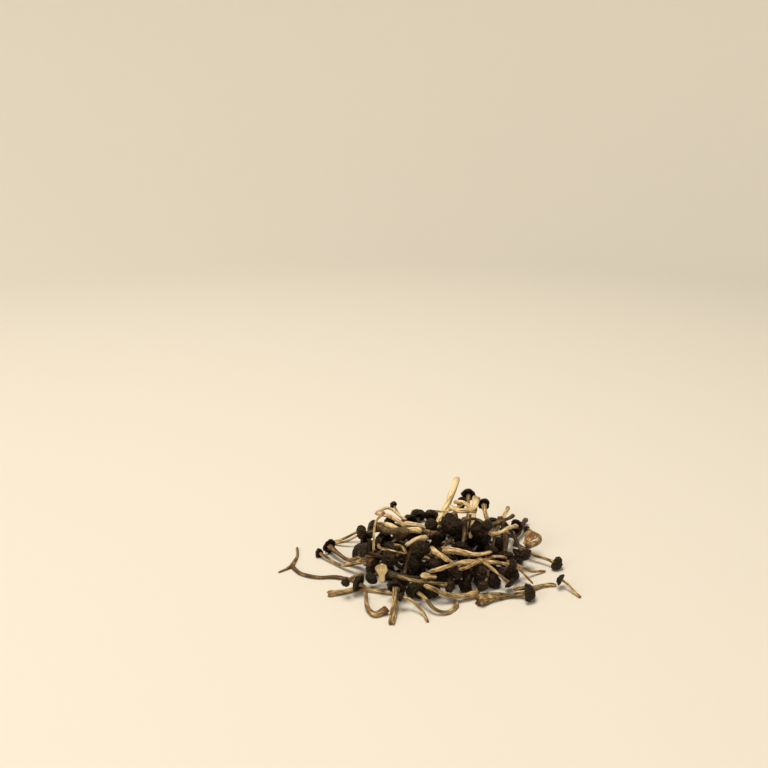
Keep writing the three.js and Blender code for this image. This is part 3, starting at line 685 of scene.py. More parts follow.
# %% Numbers of a stem
STEM_SEED = 900
STEM_FULL = 1.04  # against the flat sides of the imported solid
SWELLS = ((0.1, 6.7), (0.06, 2.7))
CREASE_SWAYS = ((0.7, 4.3), (0.4, 1.9))
CREASE_FADES = ((0.4, 6.1),)
CREASE_SHALLOWEST = 0.6
CREASE_DEPTH = 0.22
CREASE_MEAN = 0.64  # the mean of the waves below, so that creases leave a stem as wide as it is
WIDE_CREASES = 2.5  # waves round the stem
NARROW_CREASES = 5.5
NARROW_SHARE = 0.6
FINE_CREASES = 11
FINE_SHARE = 0.35
FOOT_SWELL, FOOT_SWELL_REACH = 0.1, 2.4
NECK_SWELL, NECK_SWELL_REACH = 0.3, 1.8
TIP_TAPER, TIP_TAPER_REACH = 0.35, 0.8
FOOT_STAIN_REACH, TIP_STAIN_REACH = 1.9, 1.6
FOOT_STAIN, FOOT_STAIN_DRAWN, FOOT_STAIN_RED = 0.16, 0.3, 2.4
TIP_STAIN, TIP_STAIN_RED = 0.2, 2.0
TONE_DRAWN = 0.16
TORN_WIDE, TORN_WIDE_WAVES = 0.5, 3
TORN_FINE, TORN_FINE_WAVES = 0.4, 7
TORN_DEPTH = 0.6
TORN_NARROWER = 0.85
FOOT_HOLLOW = 0.15
TIP_ROUND = 0.5
# The relief of a stem's two poles: the painted shade of the creases darkens them too
END_RELIEF = -0.5
print("creases round a stem:", WIDE_CREASES, NARROW_CREASES, FINE_CREASES)

# %% How a stem creases and swells


def stem_creases(angle, far, phase):
    """The height of the skin, in three sets of creases that sway along the stem, and their strength."""
    swayed = sway(CREASE_SWAYS, far, phase[:2])[:, None]
    crease = np.abs(np.sin(WIDE_CREASES * angle + swayed + phase[2])) - CREASE_MEAN
    crease += NARROW_SHARE * (np.abs(np.sin(NARROW_CREASES * angle - swayed + phase[3])) - CREASE_MEAN)
    crease += FINE_SHARE * np.sin(FINE_CREASES * angle + 2 * swayed + phase[4])
    return crease, CREASE_SHALLOWEST + sway(CREASE_FADES, far, phase[5:6])[:, None]


def stem_width(stem, far, phase):
    """The width of a stem as a share: it comes and goes, and swells at the foot and under a cap."""
    width = 1 + sway(SWELLS, far, phase[6:])
    width += FOOT_SWELL * fade(far, FOOT_SWELL_REACH)
    if stem.form:
        return width + NECK_SWELL * fade(stem.length - far, NECK_SWELL_REACH)
    return width * (1 - TIP_TAPER * fade(stem.length - far, TIP_TAPER_REACH))


print("creases are", CREASE_DEPTH, "of the radius deep, and less where they fade")

# %% The skin of a stem


def stem_skin(stem, number, look, detail):
    """A dried stem: flattened, creased lengthwise, with a torn foot and a neck that widens to its cap."""
    draw = seeded(STEM_SEED + number)
    phase = phases_of(draw, 8)
    steps = max(6, round(stem.length / detail["stem_step"]))
    line = spline(stem.line, np.linspace(0, len(stem.along) - 1, steps + 1))
    far = stem.length * np.linspace(0, 1, steps + 1)
    radius = np.interp(far, stem.along, stem.radius)
    _, side, top = line_directions(line)
    turn = 2 * math.pi * np.arange(detail["stem_sides"]) / detail["stem_sides"]
    angle = turn[None, :] + stem.ridge_turn + TWIST * far[:, None]
    ridge = 1 - RIDGE * (0.5 + 0.5 * np.cos(2 * angle))
    crease, strength = stem_creases(angle, far, phase)
    reach = STEM_FULL * radius[:, None] * stem_width(stem, far, phase)[:, None] * ridge
    reach = reach * (1 + CREASE_DEPTH * strength * crease)
    rings = line[:, None, :] + (reach * np.cos(turn))[:, :, None] * side[:, None, :]
    rings += (FLAT * reach * np.sin(turn))[:, :, None] * top[:, None, :]

    ahead = directions(line[1] - line[0])[0]
    torn = 1 + TORN_WIDE * np.sin(TORN_WIDE_WAVES * turn + phase[0])
    torn += TORN_FINE * np.sin(TORN_FINE_WAVES * turn + phase[1])
    torn_back = (FOOT_CUT * stem.foot * TORN_DEPTH * torn)[:, None]
    cut = line[0] + TORN_NARROWER * (rings[0] - line[0]) - ahead * torn_back
    last_pole = line[-1]
    if not stem.form:
        last_pole = line[-1] + TIP_ROUND * stem.neck * directions(line[-1] - line[-2])[0]
    rings = np.concatenate([cut[None], rings])
    points, faces = skin(rings, line[0] - FOOT_HOLLOW * stem.foot * ahead, last_pole)

    angle = np.concatenate([angle[:1], angle])
    crease = np.concatenate([crease[:1], crease * strength])
    reach = np.concatenate([reach[:1], reach])
    far = np.concatenate([[-FOOT_CUT * stem.foot], far])
    far = spread(np.repeat(far[:, None], len(turn), axis=1), 0.0, stem.length)
    grain = np.column_stack([
        spread(reach * np.cos(angle), 0.0, 0.0),
        spread(reach * np.sin(angle), 0.0, 0.0),
        far + GRAIN_APART * number,
    ])
    stain = np.clip(FOOT_STAIN + FOOT_STAIN_RED * look[1] + FOOT_STAIN_DRAWN * draw(), 0, 1)
    marks = {
        # The relief is the depth of the creases, which the stem's material paints as shade
        "relief": spread(crease, END_RELIEF, END_RELIEF),
        "foot": stain * fade(np.maximum(0, far), FOOT_STAIN_REACH),
        "tone": np.full(len(points), look[0] + TONE_DRAWN * (draw() - 0.5)),
        "red": np.full(len(points), look[1]),
    }
    if not stem.form:
        stain = (TIP_STAIN + TIP_STAIN_RED * look[1]) * draw()
        marks["foot"] += stain * fade(stem.length - far, TIP_STAIN_REACH)
    return points, faces, grain, marks


trial = stem_skin(pieces[-1].stems[0], 0, CLUMP_SHADED_LOOK, FINE)
print("points of one stem:", len(trial[0]))

# %% [markdown]
# ## Dried caps
# A fresh cap is a smooth brown dome. Dried, it is nearly black and wrinkled like a raisin, with dents,
# a rolled and waved rim, and folds between its gills. A modifier could displace a dome, but it would
# wrinkle the gills too. So the outline is turned round the stem, and only its top is moved, by a ridged
# noise that runs in millimetres.

# %% Outlines and numbers of a cap
# The outline of each cap for a radius of 1, from the stem under the gills and round the rim to the top
OUTLINES = {
    "button": [(0.30, 0.15), (0.17, 0.34), (0.07, 0.56), (0.0, 0.74), (-0.01, 0.86), (0.1, 0.96),
               (0.36, 1.0), (0.68, 0.91), (0.94, 0.68), (1.12, 0.36), (1.18, 0.03)],
    "bell": [(0.27, 0.14), (0.19, 0.34), (0.07, 0.56), (-0.05, 0.76), (-0.1, 0.87), (-0.06, 0.97),
             (0.09, 1.02), (0.3, 0.9), (0.52, 0.7), (0.7, 0.4), (0.77, 0.03)],
    "disc": [(0.13, 0.14), (0.09, 0.34), (0.01, 0.56), (-0.08, 0.75), (-0.13, 0.86), (-0.09, 0.96),
             (0.03, 1.01), (0.18, 0.86), (0.29, 0.62), (0.36, 0.32), (0.36, 0.03)],
}
RIM_AT = 4.5  # where the rim is, counted in points of the outline
RIM_REACH = 1.6
UNDER_REACH = 1.5
OVER_REACH = 2.0
CAP_SEED = 300
CAP_MIDDLE = np.array([0.3, 0.0, 0.0])
RIM_RIPPLE, RIM_RIPPLES = 0.045, 7  # share of the radius, and how many round the rim
RIM_NOTCH, RIM_NOTCHES = 0.03, 11
OVAL, OVALS = 0.07, 2
LOBE, LOBES = 0.06, 3
FOLD, FOLDS = 0.03, 26
WRINKLE, WRINKLE_LENGTH = 0.14, 1 / 0.42  # share of the radius, and millimetres
DENT, DENT_LENGTH = 0.19, 5.0
NOISE_APART = 13.7
RIDGED = (0.9, 2.2, 3, 1.0, 1.8)  # dimension, lacunarity, octaves, offset and gain
WRINKLE_MEAN, WRINKLE_LEAST, WRINKLE_MOST = 1.0, -0.8, 0.9
print("points of an outline:", {form: len(outline) for form, outline in OUTLINES.items()})

# %% Wrinkles and dents


def cap_noise(local, number):
    """The wrinkles and dents at points of a cap, in millimetres from its seat."""
    wrinkle = np.empty(len(local))
    dent = np.empty(len(local))
    for k, point in enumerate(local):
        here = Vector((point[0] + NOISE_APART * number, point[1], point[2]))
        wrinkle[k] = noise.ridged_multi_fractal(here / WRINKLE_LENGTH, *RIDGED)
        dent[k] = noise.noise(here / DENT_LENGTH)
    return np.clip(wrinkle - WRINKLE_MEAN, WRINKLE_LEAST, WRINKLE_MOST), dent


print("a wrinkle at the seat: %.2f, a dent: %.2f" % tuple(values[0] for values in cap_noise([UP], 0)))

# %% The skin of a cap


def cap_skin(stem, number, detail):
    """A dried cap: wrinkled like a raisin on top, with a rolled, waved rim and folds between the gills."""
    phase = phases_of(seeded(CAP_SEED + number), 5)
    outline = np.array(OUTLINES[stem.form])
    at = np.linspace(0, len(outline) - 1, detail["cap_rings"])
    path = spline(outline, at)
    turn = 2 * math.pi * np.arange(detail["cap_sides"]) / detail["cap_sides"]
    height = path[:, :1] + 0 * turn
    out = path[:, 1:] + 0 * turn
    rim = fade(at - RIM_AT, RIM_REACH)[:, None]
    under = np.clip((RIM_AT - at) / UNDER_REACH, 0, 1)[:, None]
    over = np.clip((at - RIM_AT + 1) / OVER_REACH, 0, 1)[:, None]
    height += rim * RIM_WAVE * np.sin(RIM_WAVES * turn + stem.ridge_turn)
    height += rim * RIM_RIPPLE * np.sin(RIM_RIPPLES * turn + phase[0])
    height += under * FOLD * np.sin(FOLDS * turn + phase[4])
    out *= 1 + OVAL * np.sin(OVALS * turn + phase[1]) + LOBE * np.sin(LOBES * turn + phase[2])
    out *= 1 + rim * RIM_NOTCH * np.sin(RIM_NOTCHES * turn + phase[3])
    local = np.stack([height, out * np.cos(turn), out * np.sin(turn)], axis=2)
    wrinkle, dent = cap_noise(stem.cap * local.reshape(-1, 3), number)
    wrinkle = wrinkle.reshape(out.shape)
    dent = dent.reshape(out.shape)
    away = local - CAP_MIDDLE
    away /= np.linalg.norm(away, axis=2, keepdims=True)
    local += away * (over * (WRINKLE * wrinkle + DENT * dent))[:, :, None]

    axes = np.array(cap_directions(stem.line))
    rings = stem.line[-1] + stem.cap * (local @ axes)
    first_pole = stem.line[-1] + stem.cap * outline[0][0] * axes[0]
    points, faces = skin(rings, first_pole, rings[-1].mean(axis=0))
    faces = [face[::-1] for face in faces]
    grain = (points - stem.line[-1]) @ axes.T + [GRAIN_APART * number, 0, 0]
    marks = {
        # The relief of the wrinkles, which the cap's material paints as highlight on crests and shade in
        # hollows
        "relief": spread(over * wrinkle, 0.0, 0.0),
        "rim": spread(rim + 0 * turn, 0.0, 0.0),
        "gill": spread(under + 0 * turn, 1.0, 0.0),
    }
    return points, faces, grain, marks


trial = cap_skin(pieces[1].stems[0], 0, FINE)
print("points of one cap:", len(trial[0]))

# %% [markdown]
# ## Slices and the flake
# Some mushrooms were cut lengthwise before they dried, which leaves thin, stiff, pale slices. A flat
# sheet with a thickness would do for the faces, but dried slices shrink more in the middle than at
# their edges. So a slice is a skin over rings that are flat, rounded at the edge and thinner inside.

# %% The skin of a slice
SLICE_SEED = 700
SLICE_STEPS = 36
SLICE_SIDES = 40
SLICE_FULL = 0.95
SLICE_FOOT_ROUND, SLICE_END_ROUND = 0.5, 0.8  # millimetres that the two ends take to open
SLICE_END_LEAST = 0.02
SLICE_EDGE_WAVES = ((0.07, 1.1), (0.05, 0.45))
SLICE_SQUARE = 0.45  # below 1, the faces get flatter and the edges squarer
SLICE_EDGE_ROUND = 0.7
SLICE_HOLLOW, SLICE_HOLLOW_REACH = 0.35, 0.35
SLICE_EDGE_STAIN = 3
SLICE_END_STAIN = 0.6
SLICE_MEAN = 0.8


def signed_power(values, power):
    """A power that keeps the sign."""
    return np.sign(values) * np.abs(values) ** power


def slice_skin(stem, number, look):
    """A thin slice cut along a mushroom, or a flake of one: flat faces, rounded and uneven edges."""
    phase = phases_of(seeded(SLICE_SEED + number), 4)
    line = spline(stem.line, np.linspace(0, len(stem.along) - 1, SLICE_STEPS + 1))
    far = stem.length * np.linspace(0, 1, SLICE_STEPS + 1)
    radius = np.interp(far, stem.along, stem.radius)
    _, side, top = line_directions(line)
    turn = 2 * math.pi * np.arange(SLICE_SIDES) / SLICE_SIDES
    opened = np.minimum(far / SLICE_FOOT_ROUND, (stem.length - far) / SLICE_END_ROUND)
    ends = np.sqrt(np.clip(opened, SLICE_END_LEAST, 1))[:, None]
    wave = sway(SLICE_EDGE_WAVES, far, phase)[:, None]
    breadth = slice_breadth(stem, far)[:, None] * ends * (1 + wave * np.sign(np.cos(turn)))
    across = signed_power(np.cos(turn), SLICE_SQUARE)
    inner = 1 - SLICE_HOLLOW * fade(across * breadth / stem.broad, SLICE_HOLLOW_REACH)
    thick = SLICE_FULL * radius[:, None] * signed_power(np.sin(turn), SLICE_EDGE_ROUND)
    thick = thick * inner * ends ** 0.5
    rings = line[:, None, :] + (across * breadth)[:, :, None] * side[:, None, :]
    rings += thick[:, :, None] * top[:, None, :]
    points, faces = skin(rings, line[0], line[-1])
    grain = np.column_stack([
        spread(across * breadth, 0.0, 0.0),
        spread(thick, 0.0, 0.0),
        spread(far[:, None] + 0 * turn, 0.0, stem.length) + GRAIN_APART * number,
    ])
    edge = np.abs(across) ** SLICE_EDGE_STAIN + SLICE_END_STAIN * (1 - ends)
    marks = {
        # For a flake, which wears the stem's material, this relief paints shade in its thinner middle
        "relief": spread(inner - SLICE_MEAN, 0.0, 0.0),
        "rim": spread(np.clip(edge, 0, 1), 1.0, 1.0),
        "tone": np.full(len(points), look[0]),
        "red": np.full(len(points), look[1]),
    }
    return points, faces, grain, marks


print("slices:", sum(stem.broad > 0 for piece in pieces for stem in piece.stems))

# %% [markdown]
# ## Nodes
# Gills and materials are both made of nodes. One small function adds a node of any kind, with its
# settings and links, so that each tree below reads as a list of what feeds what.

# %% Add a node


def add(tree, kind, inputs=None, **settings):
    """Adds a node with its settings, its values and its links. A node stands for its first output."""
    node = tree.nodes.new(kind)
    for key, value in settings.items():
        setattr(node, key, value)
    for key, value in (inputs or {}).items():
        if isinstance(value, bpy.types.Node):
            value = value.outputs[0]
        if isinstance(value, bpy.types.NodeSocket):
            tree.links.new(value, node.inputs[key])
        else:
            node.inputs[key].default_value = value
    return node


print("node functions:", add.__name__)

# %% [markdown]
# ## The gills
# Under each cap, thin gills run from the stem to the rim. They repeat, so Geometry Nodes makes them: one
# blade is set round the cap's axis as often as Count says, each turned and scaled a little by a seeded
# draw. Instances would be lost in the export, so they are made real and baked into a plain mesh.

# %% The tree of gills
GILLS = {"button": (34, 0.3), "bell": (40, 0.35), "disc": (40, 0.35)}  # how many, and how uneven
GILL_SEED = 7
GILL_SIZES = (0.92, 1.04)


def gill_tree():
    """A node group that sets blades round the X axis, and the identifiers of its inputs."""
    tree = bpy.data.node_groups.new("gill_ring", "GeometryNodeTree")
    face = tree.interface
    face.new_socket("Blade", in_out="INPUT", socket_type="NodeSocketGeometry")
    count = face.new_socket("Count", in_out="INPUT", socket_type="NodeSocketInt")
    uneven = face.new_socket("Uneven", in_out="INPUT", socket_type="NodeSocketFloat")
    seed = face.new_socket("Seed", in_out="INPUT", socket_type="NodeSocketInt")
    material = face.new_socket("Material", in_out="INPUT", socket_type="NodeSocketMaterial")
    face.new_socket("Gills", in_out="OUTPUT", socket_type="NodeSocketGeometry")
    given = tree.nodes.new("NodeGroupInput").outputs
    least, most = GILL_SIZES
    points = add(tree, "GeometryNodePoints", {"Count": given["Count"]})
    index = add(tree, "GeometryNodeInputIndex")
    jitter = add(tree, "FunctionNodeRandomValue", {2: -0.5, 3: 0.5, "Seed": given["Seed"]}).outputs[1]
    moved = add(tree, "ShaderNodeMath", {0: jitter, 1: given["Uneven"]}, operation="MULTIPLY")
    place = add(tree, "ShaderNodeMath", {0: index, 1: moved}, operation="ADD")
    share = add(tree, "ShaderNodeMath", {0: place, 1: given["Count"]}, operation="DIVIDE")
    turn = add(tree, "ShaderNodeMath", {0: share, 1: 2 * math.pi}, operation="MULTIPLY")
    euler = add(tree, "ShaderNodeCombineXYZ", {"X": turn})
    rotation = add(tree, "FunctionNodeEulerToRotation", {0: euler})
    size = add(tree, "FunctionNodeRandomValue", {2: least, 3: most, "Seed": given["Seed"]}).outputs[1]
    placed = add(tree, "GeometryNodeInstanceOnPoints", {
        "Points": points, "Instance": given["Blade"], "Rotation": rotation, "Scale": size,
    })
    real = add(tree, "GeometryNodeRealizeInstances", {0: placed})
    done = add(tree, "GeometryNodeSetMaterial", {"Geometry": real, "Material": given["Material"]})
    add(tree, "NodeGroupOutput", {0: done})
    sockets = {"count": count, "uneven": uneven, "seed": seed, "material": material}
    return tree, {key: socket.identifier for key, socket in sockets.items()}


gills, gill_sockets = gill_tree()
print("gill inputs:", ", ".join(gill_sockets))

# %% One gill
BLADE_POINTS = 9
BLADE_FROM, BLADE_TO = 0.15, 4.0  # counted in points of the cap's outline
BLADE_DEPTH, BLADE_LEAST = 0.09, 0.012  # shares of the cap's radius, as are the next
BLADE_IN, BLADE_OUT = 0.25, math.pi - 0.2
BLADE_HALF, BLADE_WIDENS = 0.011, 0.006
BLADE_SUNK = 0.05
BLADE_EDGE = 0.4


def gill_blade(form):
    """One blade under a cap of radius 1, from the stem to the rim: a thin closed sliver."""
    path = spline(np.array(OUTLINES[form]), np.linspace(BLADE_FROM, BLADE_TO, BLADE_POINTS))
    depth = BLADE_DEPTH * np.sin(np.linspace(BLADE_IN, BLADE_OUT, BLADE_POINTS)) + BLADE_LEAST
    thin = BLADE_HALF + BLADE_WIDENS * np.linspace(0, 1, BLADE_POINTS)
    rings = []
    for (height, out), drop, half in zip(path, depth, thin):
        root = height + BLADE_SUNK
        edge = height - drop
        rings.append([
            (root, out, -half), (root, out, half),
            (edge, out, half * BLADE_EDGE), (edge, out, -half * BLADE_EDGE),
        ])
    rings = np.array(rings)
    points, faces = skin(rings, rings[0].mean(axis=0), rings[-1].mean(axis=0))
    mesh = bpy.data.meshes.new(f"gill_blade_{form}")
    mesh.from_pydata(points.tolist(), [], [tuple(int(i) for i in face) for face in faces])
    return mesh


print("gills under a cap:", {form: count for form, (count, _) in GILLS.items()})

# %% The baked ring of gills


def bake_gills(form, material):
    """The ring of gills of one form of cap, as points and faces for a cap of radius 1."""
    blade_mesh = gill_blade(form)
    blade = bpy.data.objects.new(f"gills_{form}", blade_mesh)
    bpy.context.scene.collection.objects.link(blade)
    modifier = blade.modifiers.new("gills", "NODES")
    modifier.node_group = gills
    modifier[gill_sockets["count"]], modifier[gill_sockets["uneven"]] = GILLS[form]
    modifier[gill_sockets["seed"]] = GILL_SEED
    modifier[gill_sockets["material"]] = material
    bpy.context.view_layer.update()
    depsgraph = bpy.context.evaluated_depsgraph_get()
    baked = bpy.data.meshes.new_from_object(blade.evaluated_get(depsgraph))
    points = np.empty(3 * len(baked.vertices))
    baked.vertices.foreach_get("co", points)
    faces = [tuple(polygon.vertices) for polygon in baked.polygons]
    blade.modifiers.remove(modifier)
    bpy.data.objects.remove(blade)
    bpy.data.meshes.remove(blade_mesh)
    bpy.data.meshes.remove(baked)
    return points.reshape(-1, 3), faces


def gill_skin(stem, number, ring):
    """The gills under one cap."""
    local, faces = ring
    points = stem.line[-1] + stem.cap * (local @ np.array(cap_directions(stem.line)))
    grain = stem.cap * local + [GRAIN_APART * number, 0, 0]
    return points, faces, grain, {"gill": np.ones(len(points))}


print("each blade is baked on its own, for", len(GILLS), "forms of cap")

# %% [markdown]
# ## Materials
# All three are made of nodes alone. A photograph wrapped over the pieces would stretch, and would carry
# its own light. Noise runs in millimetres on the mushroom itself, through the grain attribute, so
# streaks follow a stem however it bends, and wrinkles stay with their cap.

# %% Colours and an empty material


def linear(code):
    """A linear colour from its usual six-figure screen code."""
    values = [int(code[k:k + 2], 16) / 255 for k in (0, 2, 4)]
    return (*[v / 12.92 if v <= 0.04045 else ((v + 0.055) / 1.055) ** 2.4 for v in values], 1.0)


def empty_material(name):
    """A new material without nodes, and its tree."""
    material = bpy.data.materials.new(name)
    material.use_nodes = True
    material.node_tree.nodes.clear()
    return material, material.node_tree


def set_tones(node, tones):
    """The row of colours of a ramp node, each with its place from 0 to 1."""
    elements = node.color_ramp.elements
    while len(elements) < len(tones):
        elements.new(0.5)
    for element, (place, code) in zip(elements, tones):
        element.position = place
        element.color = linear(code)


print("a middle grey is", round(linear("808080")[0], 3), "in linear light")

# %% [markdown]
# ### Dried stem
# The flesh of a mushroom stem, dried in warm air: long fibres that shrank side by side. To the eye it is
# matte with a faint satin along the fibres, pale on the ridges and reddish where it was cut; its creases
# are painted darker, as painted shade. Its cell walls bend light as plant fibre does, so the IOR stays
# at its usual 1.5.

# %% Colours and pattern of a stem
STEM_TONES = [(0.0, "F6E2B4"), (0.22, "D9BC84"), (0.45, "8E7649"), (0.7, "4C402A"), (1.0, "1D1710")]
# Painted shade: the dark colour laid in the creases of a stem
STEM_CREASE_SHADE = "3E2914"
STEM_FLECK = "7A5A34"
STEM_RED = "8A4A1E"
STEM_FOOT = "6B3D1C"
STREAK_MM = 0.6  # real fibres are finer, but would not show
FIBRE_MM = 0.2
PATCH_MM = 7.0
DRAWN_OUT = (1.0, 1.0, 0.13)  # streaks are about eight times as long as wide
PATCH_SHARE = 1.2
STREAK_SHARE = 1.9
# How strongly the painted shade darkens the creases
CREASE_SHADE_SHARE = 0.74
FLECK_SHARE = 0.35
print("streaks", STREAK_MM, "mm wide and", round(STREAK_MM / DRAWN_OUT[2], 1), "mm long")

# %% The material of a stem


def dried_stem():
    """Dried stem: cream to olive, streaked lengthwise, painted shade in its creases, reddish where cut."""
    material, tree = empty_material("dried_stem")
    grain = add(tree, "ShaderNodeAttribute", attribute_name="grain").outputs["Vector"]
    tone_mark = add(tree, "ShaderNodeAttribute", attribute_name="tone").outputs["Fac"]
    red_mark = add(tree, "ShaderNodeAttribute", attribute_name="red").outputs["Fac"]
    foot_mark = add(tree, "ShaderNodeAttribute", attribute_name="foot").outputs["Fac"]
    relief = add(tree, "ShaderNodeAttribute", attribute_name="relief").outputs["Fac"]
    along = add(tree, "ShaderNodeVectorMath", {0: grain, 1: DRAWN_OUT}, operation="MULTIPLY")
    streaks = add(tree, "ShaderNodeTexNoise", {
        "Vector": along, "Scale": 1 / STREAK_MM, "Detail": 5.0, "Roughness": 0.62,
    })
    fibres = add(tree, "ShaderNodeTexNoise", {
        "Vector": along, "Scale": 1 / FIBRE_MM, "Detail": 3.0, "Roughness": 0.6,
    })
    patches = add(tree, "ShaderNodeTexNoise", {
        "Vector": grain, "Scale": 1 / PATCH_MM, "Detail": 3.0, "Roughness": 0.6,
    })

    patch_shift = add(tree, "ShaderNodeMath", {0: patches, 1: PATCH_SHARE, 2: -PATCH_SHARE / 2},
                      operation="MULTIPLY_ADD")
    streak_shift = add(tree, "ShaderNodeMath", {0: streaks, 1: STREAK_SHARE, 2: -STREAK_SHARE / 2},
                       operation="MULTIPLY_ADD")
    tone = add(tree, "ShaderNodeMath", {0: tone_mark, 1: patch_shift}, operation="ADD")
    tone = add(tree, "ShaderNodeMath", {0: tone, 1: streak_shift}, operation="ADD")
    colour = add(tree, "ShaderNodeValToRGB", {0: tone})
    set_tones(colour, STEM_TONES)

    # Painted shade in the creases: darker where the relief is low
    crease_shade = add(tree, "ShaderNodeMapRange", {0: relief, 1: 0.15, 2: -0.75},
                 interpolation_type="SMOOTHSTEP")
    crease_shade = add(tree, "ShaderNodeMath", {0: crease_shade, 1: CREASE_SHADE_SHARE}, operation="MULTIPLY")
    fleck = add(tree, "ShaderNodeMapRange", {0: fibres, 1: 0.56, 2: 0.7}, interpolation_type="SMOOTHSTEP")
    fleck = add(tree, "ShaderNodeMath", {0: fleck, 1: FLECK_SHARE}, operation="MULTIPLY")
    red = add(tree, "ShaderNodeMapRange", {0: streaks, 1: 0.35, 2: 0.6}, interpolation_type="SMOOTHSTEP")
    red = add(tree, "ShaderNodeMath", {0: red_mark, 1: red}, operation="MULTIPLY")
    foot = add(tree, "ShaderNodeMapRange", {0: patches, 1: 0.25, 2: 0.6, 3: 0.45},
               interpolation_type="SMOOTHSTEP")
    foot = add(tree, "ShaderNodeMath", {0: foot_mark, 1: foot}, operation="MULTIPLY")
    for share, code in ((crease_shade, STEM_CREASE_SHADE), (fleck, STEM_FLECK), (red, STEM_RED), (foot, STEM_FOOT)):
        colour = add(tree, "ShaderNodeMix", {0: share, 6: colour, 7: linear(code)}, data_type="RGBA")
        colour = colour.outputs[2]

    roughness = add(tree, "ShaderNodeMapRange", {0: streaks, 1: 0.3, 2: 0.7, 3: 0.58, 4: 0.82},
                    interpolation_type="SMOOTHSTEP")
    bumps = add(tree, "ShaderNodeBump", {"Height": streaks, "Distance": 0.4 * MM, "Strength": 0.9})
    bumps = add(tree, "ShaderNodeBump", {
        "Height": fibres, "Distance": 0.1 * MM, "Strength": 0.7, "Normal": bumps,
    })
    shader = add(tree, "ShaderNodeBsdfPrincipled", {
        "Base Color": colour, "Roughness": roughness, "Normal": bumps, "Specular IOR Level": 0.35,
    })
    add(tree, "ShaderNodeOutputMaterial", {"Surface": shader})
    return material


STEM = dried_stem()
print(STEM.name, "nodes:", len(STEM.node_tree.nodes))

# %% [markdown]
# ### Dried cap
# The cap's skin went nearly black as it dried, and its wrinkles are finer than a mesh can hold: the mesh
# has the large ones, and cells of about a millimetre in a bump make the small ones. To the eye it is a
# dull, slightly waxy dark brown, paler at its rim, with warm glints. The crests of its wrinkles are
# painted paler, as painted highlight, and their hollows darker, as painted shade.

# %% Colours and pattern of a cap
# Painted light: the relief of the wrinkles moves along these tones, so crests get painted highlight and
# hollows painted shade
CAP_TONES = [(0.36, "020101"), (0.58, "070403"), (0.76, "1B120B"), (0.95, "6A543E")]
CAP_RIM = "35241A"
CAP_GILL = "22170E"
CAP_GLOSS = "FFDDB8"
MOTTLE_MM = 1.8
WRINKLE_MM = 0.9
PORE_MM = 0.4
# How strongly the wrinkles paint highlight on their crests and shade in their hollows
WRINKLE_LIGHT_SHARE = 0.45
RIM_SHARE = 0.7
GILL_SHARE = 0.75
print("wrinkles", WRINKLE_MM, "mm wide, pores", PORE_MM, "mm")

# %% The material of a cap


def dried_cap():
    """Dried cap: nearly black brown, paler at its rim; wrinkles with painted highlight and shade."""
    material, tree = empty_material("dried_cap")
    grain = add(tree, "ShaderNodeAttribute", attribute_name="grain").outputs["Vector"]
    relief = add(tree, "ShaderNodeAttribute", attribute_name="relief").outputs["Fac"]
    rim_mark = add(tree, "ShaderNodeAttribute", attribute_name="rim").outputs["Fac"]
    gill_mark = add(tree, "ShaderNodeAttribute", attribute_name="gill").outputs["Fac"]
    mottle = add(tree, "ShaderNodeTexNoise", {
        "Vector": grain, "Scale": 1 / MOTTLE_MM, "Detail": 4.0, "Roughness": 0.6,
    })
    pores = add(tree, "ShaderNodeTexNoise", {
        "Vector": grain, "Scale": 1 / PORE_MM, "Detail": 4.0, "Roughness": 0.65,
    })
    cells = add(tree, "ShaderNodeTexVoronoi", {"Vector": grain, "Scale": 1 / WRINKLE_MM},
                feature="SMOOTH_F1")

    # Painted highlight on the crests of the wrinkles and painted shade in their hollows, added to the
    # mottle
    painted_wrinkle_light = add(tree, "ShaderNodeMath", {0: relief, 1: WRINKLE_LIGHT_SHARE}, operation="MULTIPLY")
    tone_and_wrinkle_light = add(tree, "ShaderNodeMath", {0: painted_wrinkle_light, 1: mottle}, operation="ADD")
    colour = add(tree, "ShaderNodeValToRGB", {0: tone_and_wrinkle_light})
    set_tones(colour, CAP_TONES)
    rim = add(tree, "ShaderNodeMapRange", {0: pores, 1: 0.4, 2: 0.65}, interpolation_type="SMOOTHSTEP")
    rim = add(tree, "ShaderNodeMath", {0: rim_mark, 1: rim}, operation="MULTIPLY")
    rim = add(tree, "ShaderNodeMath", {0: rim, 1: RIM_SHARE}, operation="MULTIPLY")
    gill = add(tree, "ShaderNodeMath", {0: gill_mark, 1: GILL_SHARE}, operation="MULTIPLY")
    for share, code in ((rim, CAP_RIM), (gill, CAP_GILL)):
        colour = add(tree, "ShaderNodeMix", {0: share, 6: colour, 7: linear(code)}, data_type="RGBA")
        colour = colour.outputs[2]

    roughness = add(tree, "ShaderNodeMapRange", {0: pores, 1: 0.3, 2: 0.7, 3: 0.3, 4: 0.66},
                    interpolation_type="SMOOTHSTEP")
    bumps = add(tree, "ShaderNodeBump", {"Height": cells, "Distance": 0.8 * MM, "Strength": 1.0})
    bumps = add(tree, "ShaderNodeBump", {
        "Height": pores, "Distance": 0.3 * MM, "Strength": 0.9, "Normal": bumps,
    })
    shader = add(tree, "ShaderNodeBsdfPrincipled", {
        "Base Color": colour, "Roughness": roughness, "Normal": bumps,
        "Specular IOR Level": 0.4, "Specular Tint": linear(CAP_GLOSS),
    })
    add(tree, "ShaderNodeOutputMaterial", {"Surface": shader})
    return material


CAP = dried_cap()
GILL_RINGS = {form: bake_gills(form, CAP) for form in GILLS}
print("gill points:", {form: len(ring[0]) for form, ring in GILL_RINGS.items()})

# %% [markdown]
# ### Cut flesh
# The inside of a mushroom, sliced with a knife and dried: cream, almost without gloss, with faint fibres
# along the slice. Its edge is the skin seen end on, so it is browner.

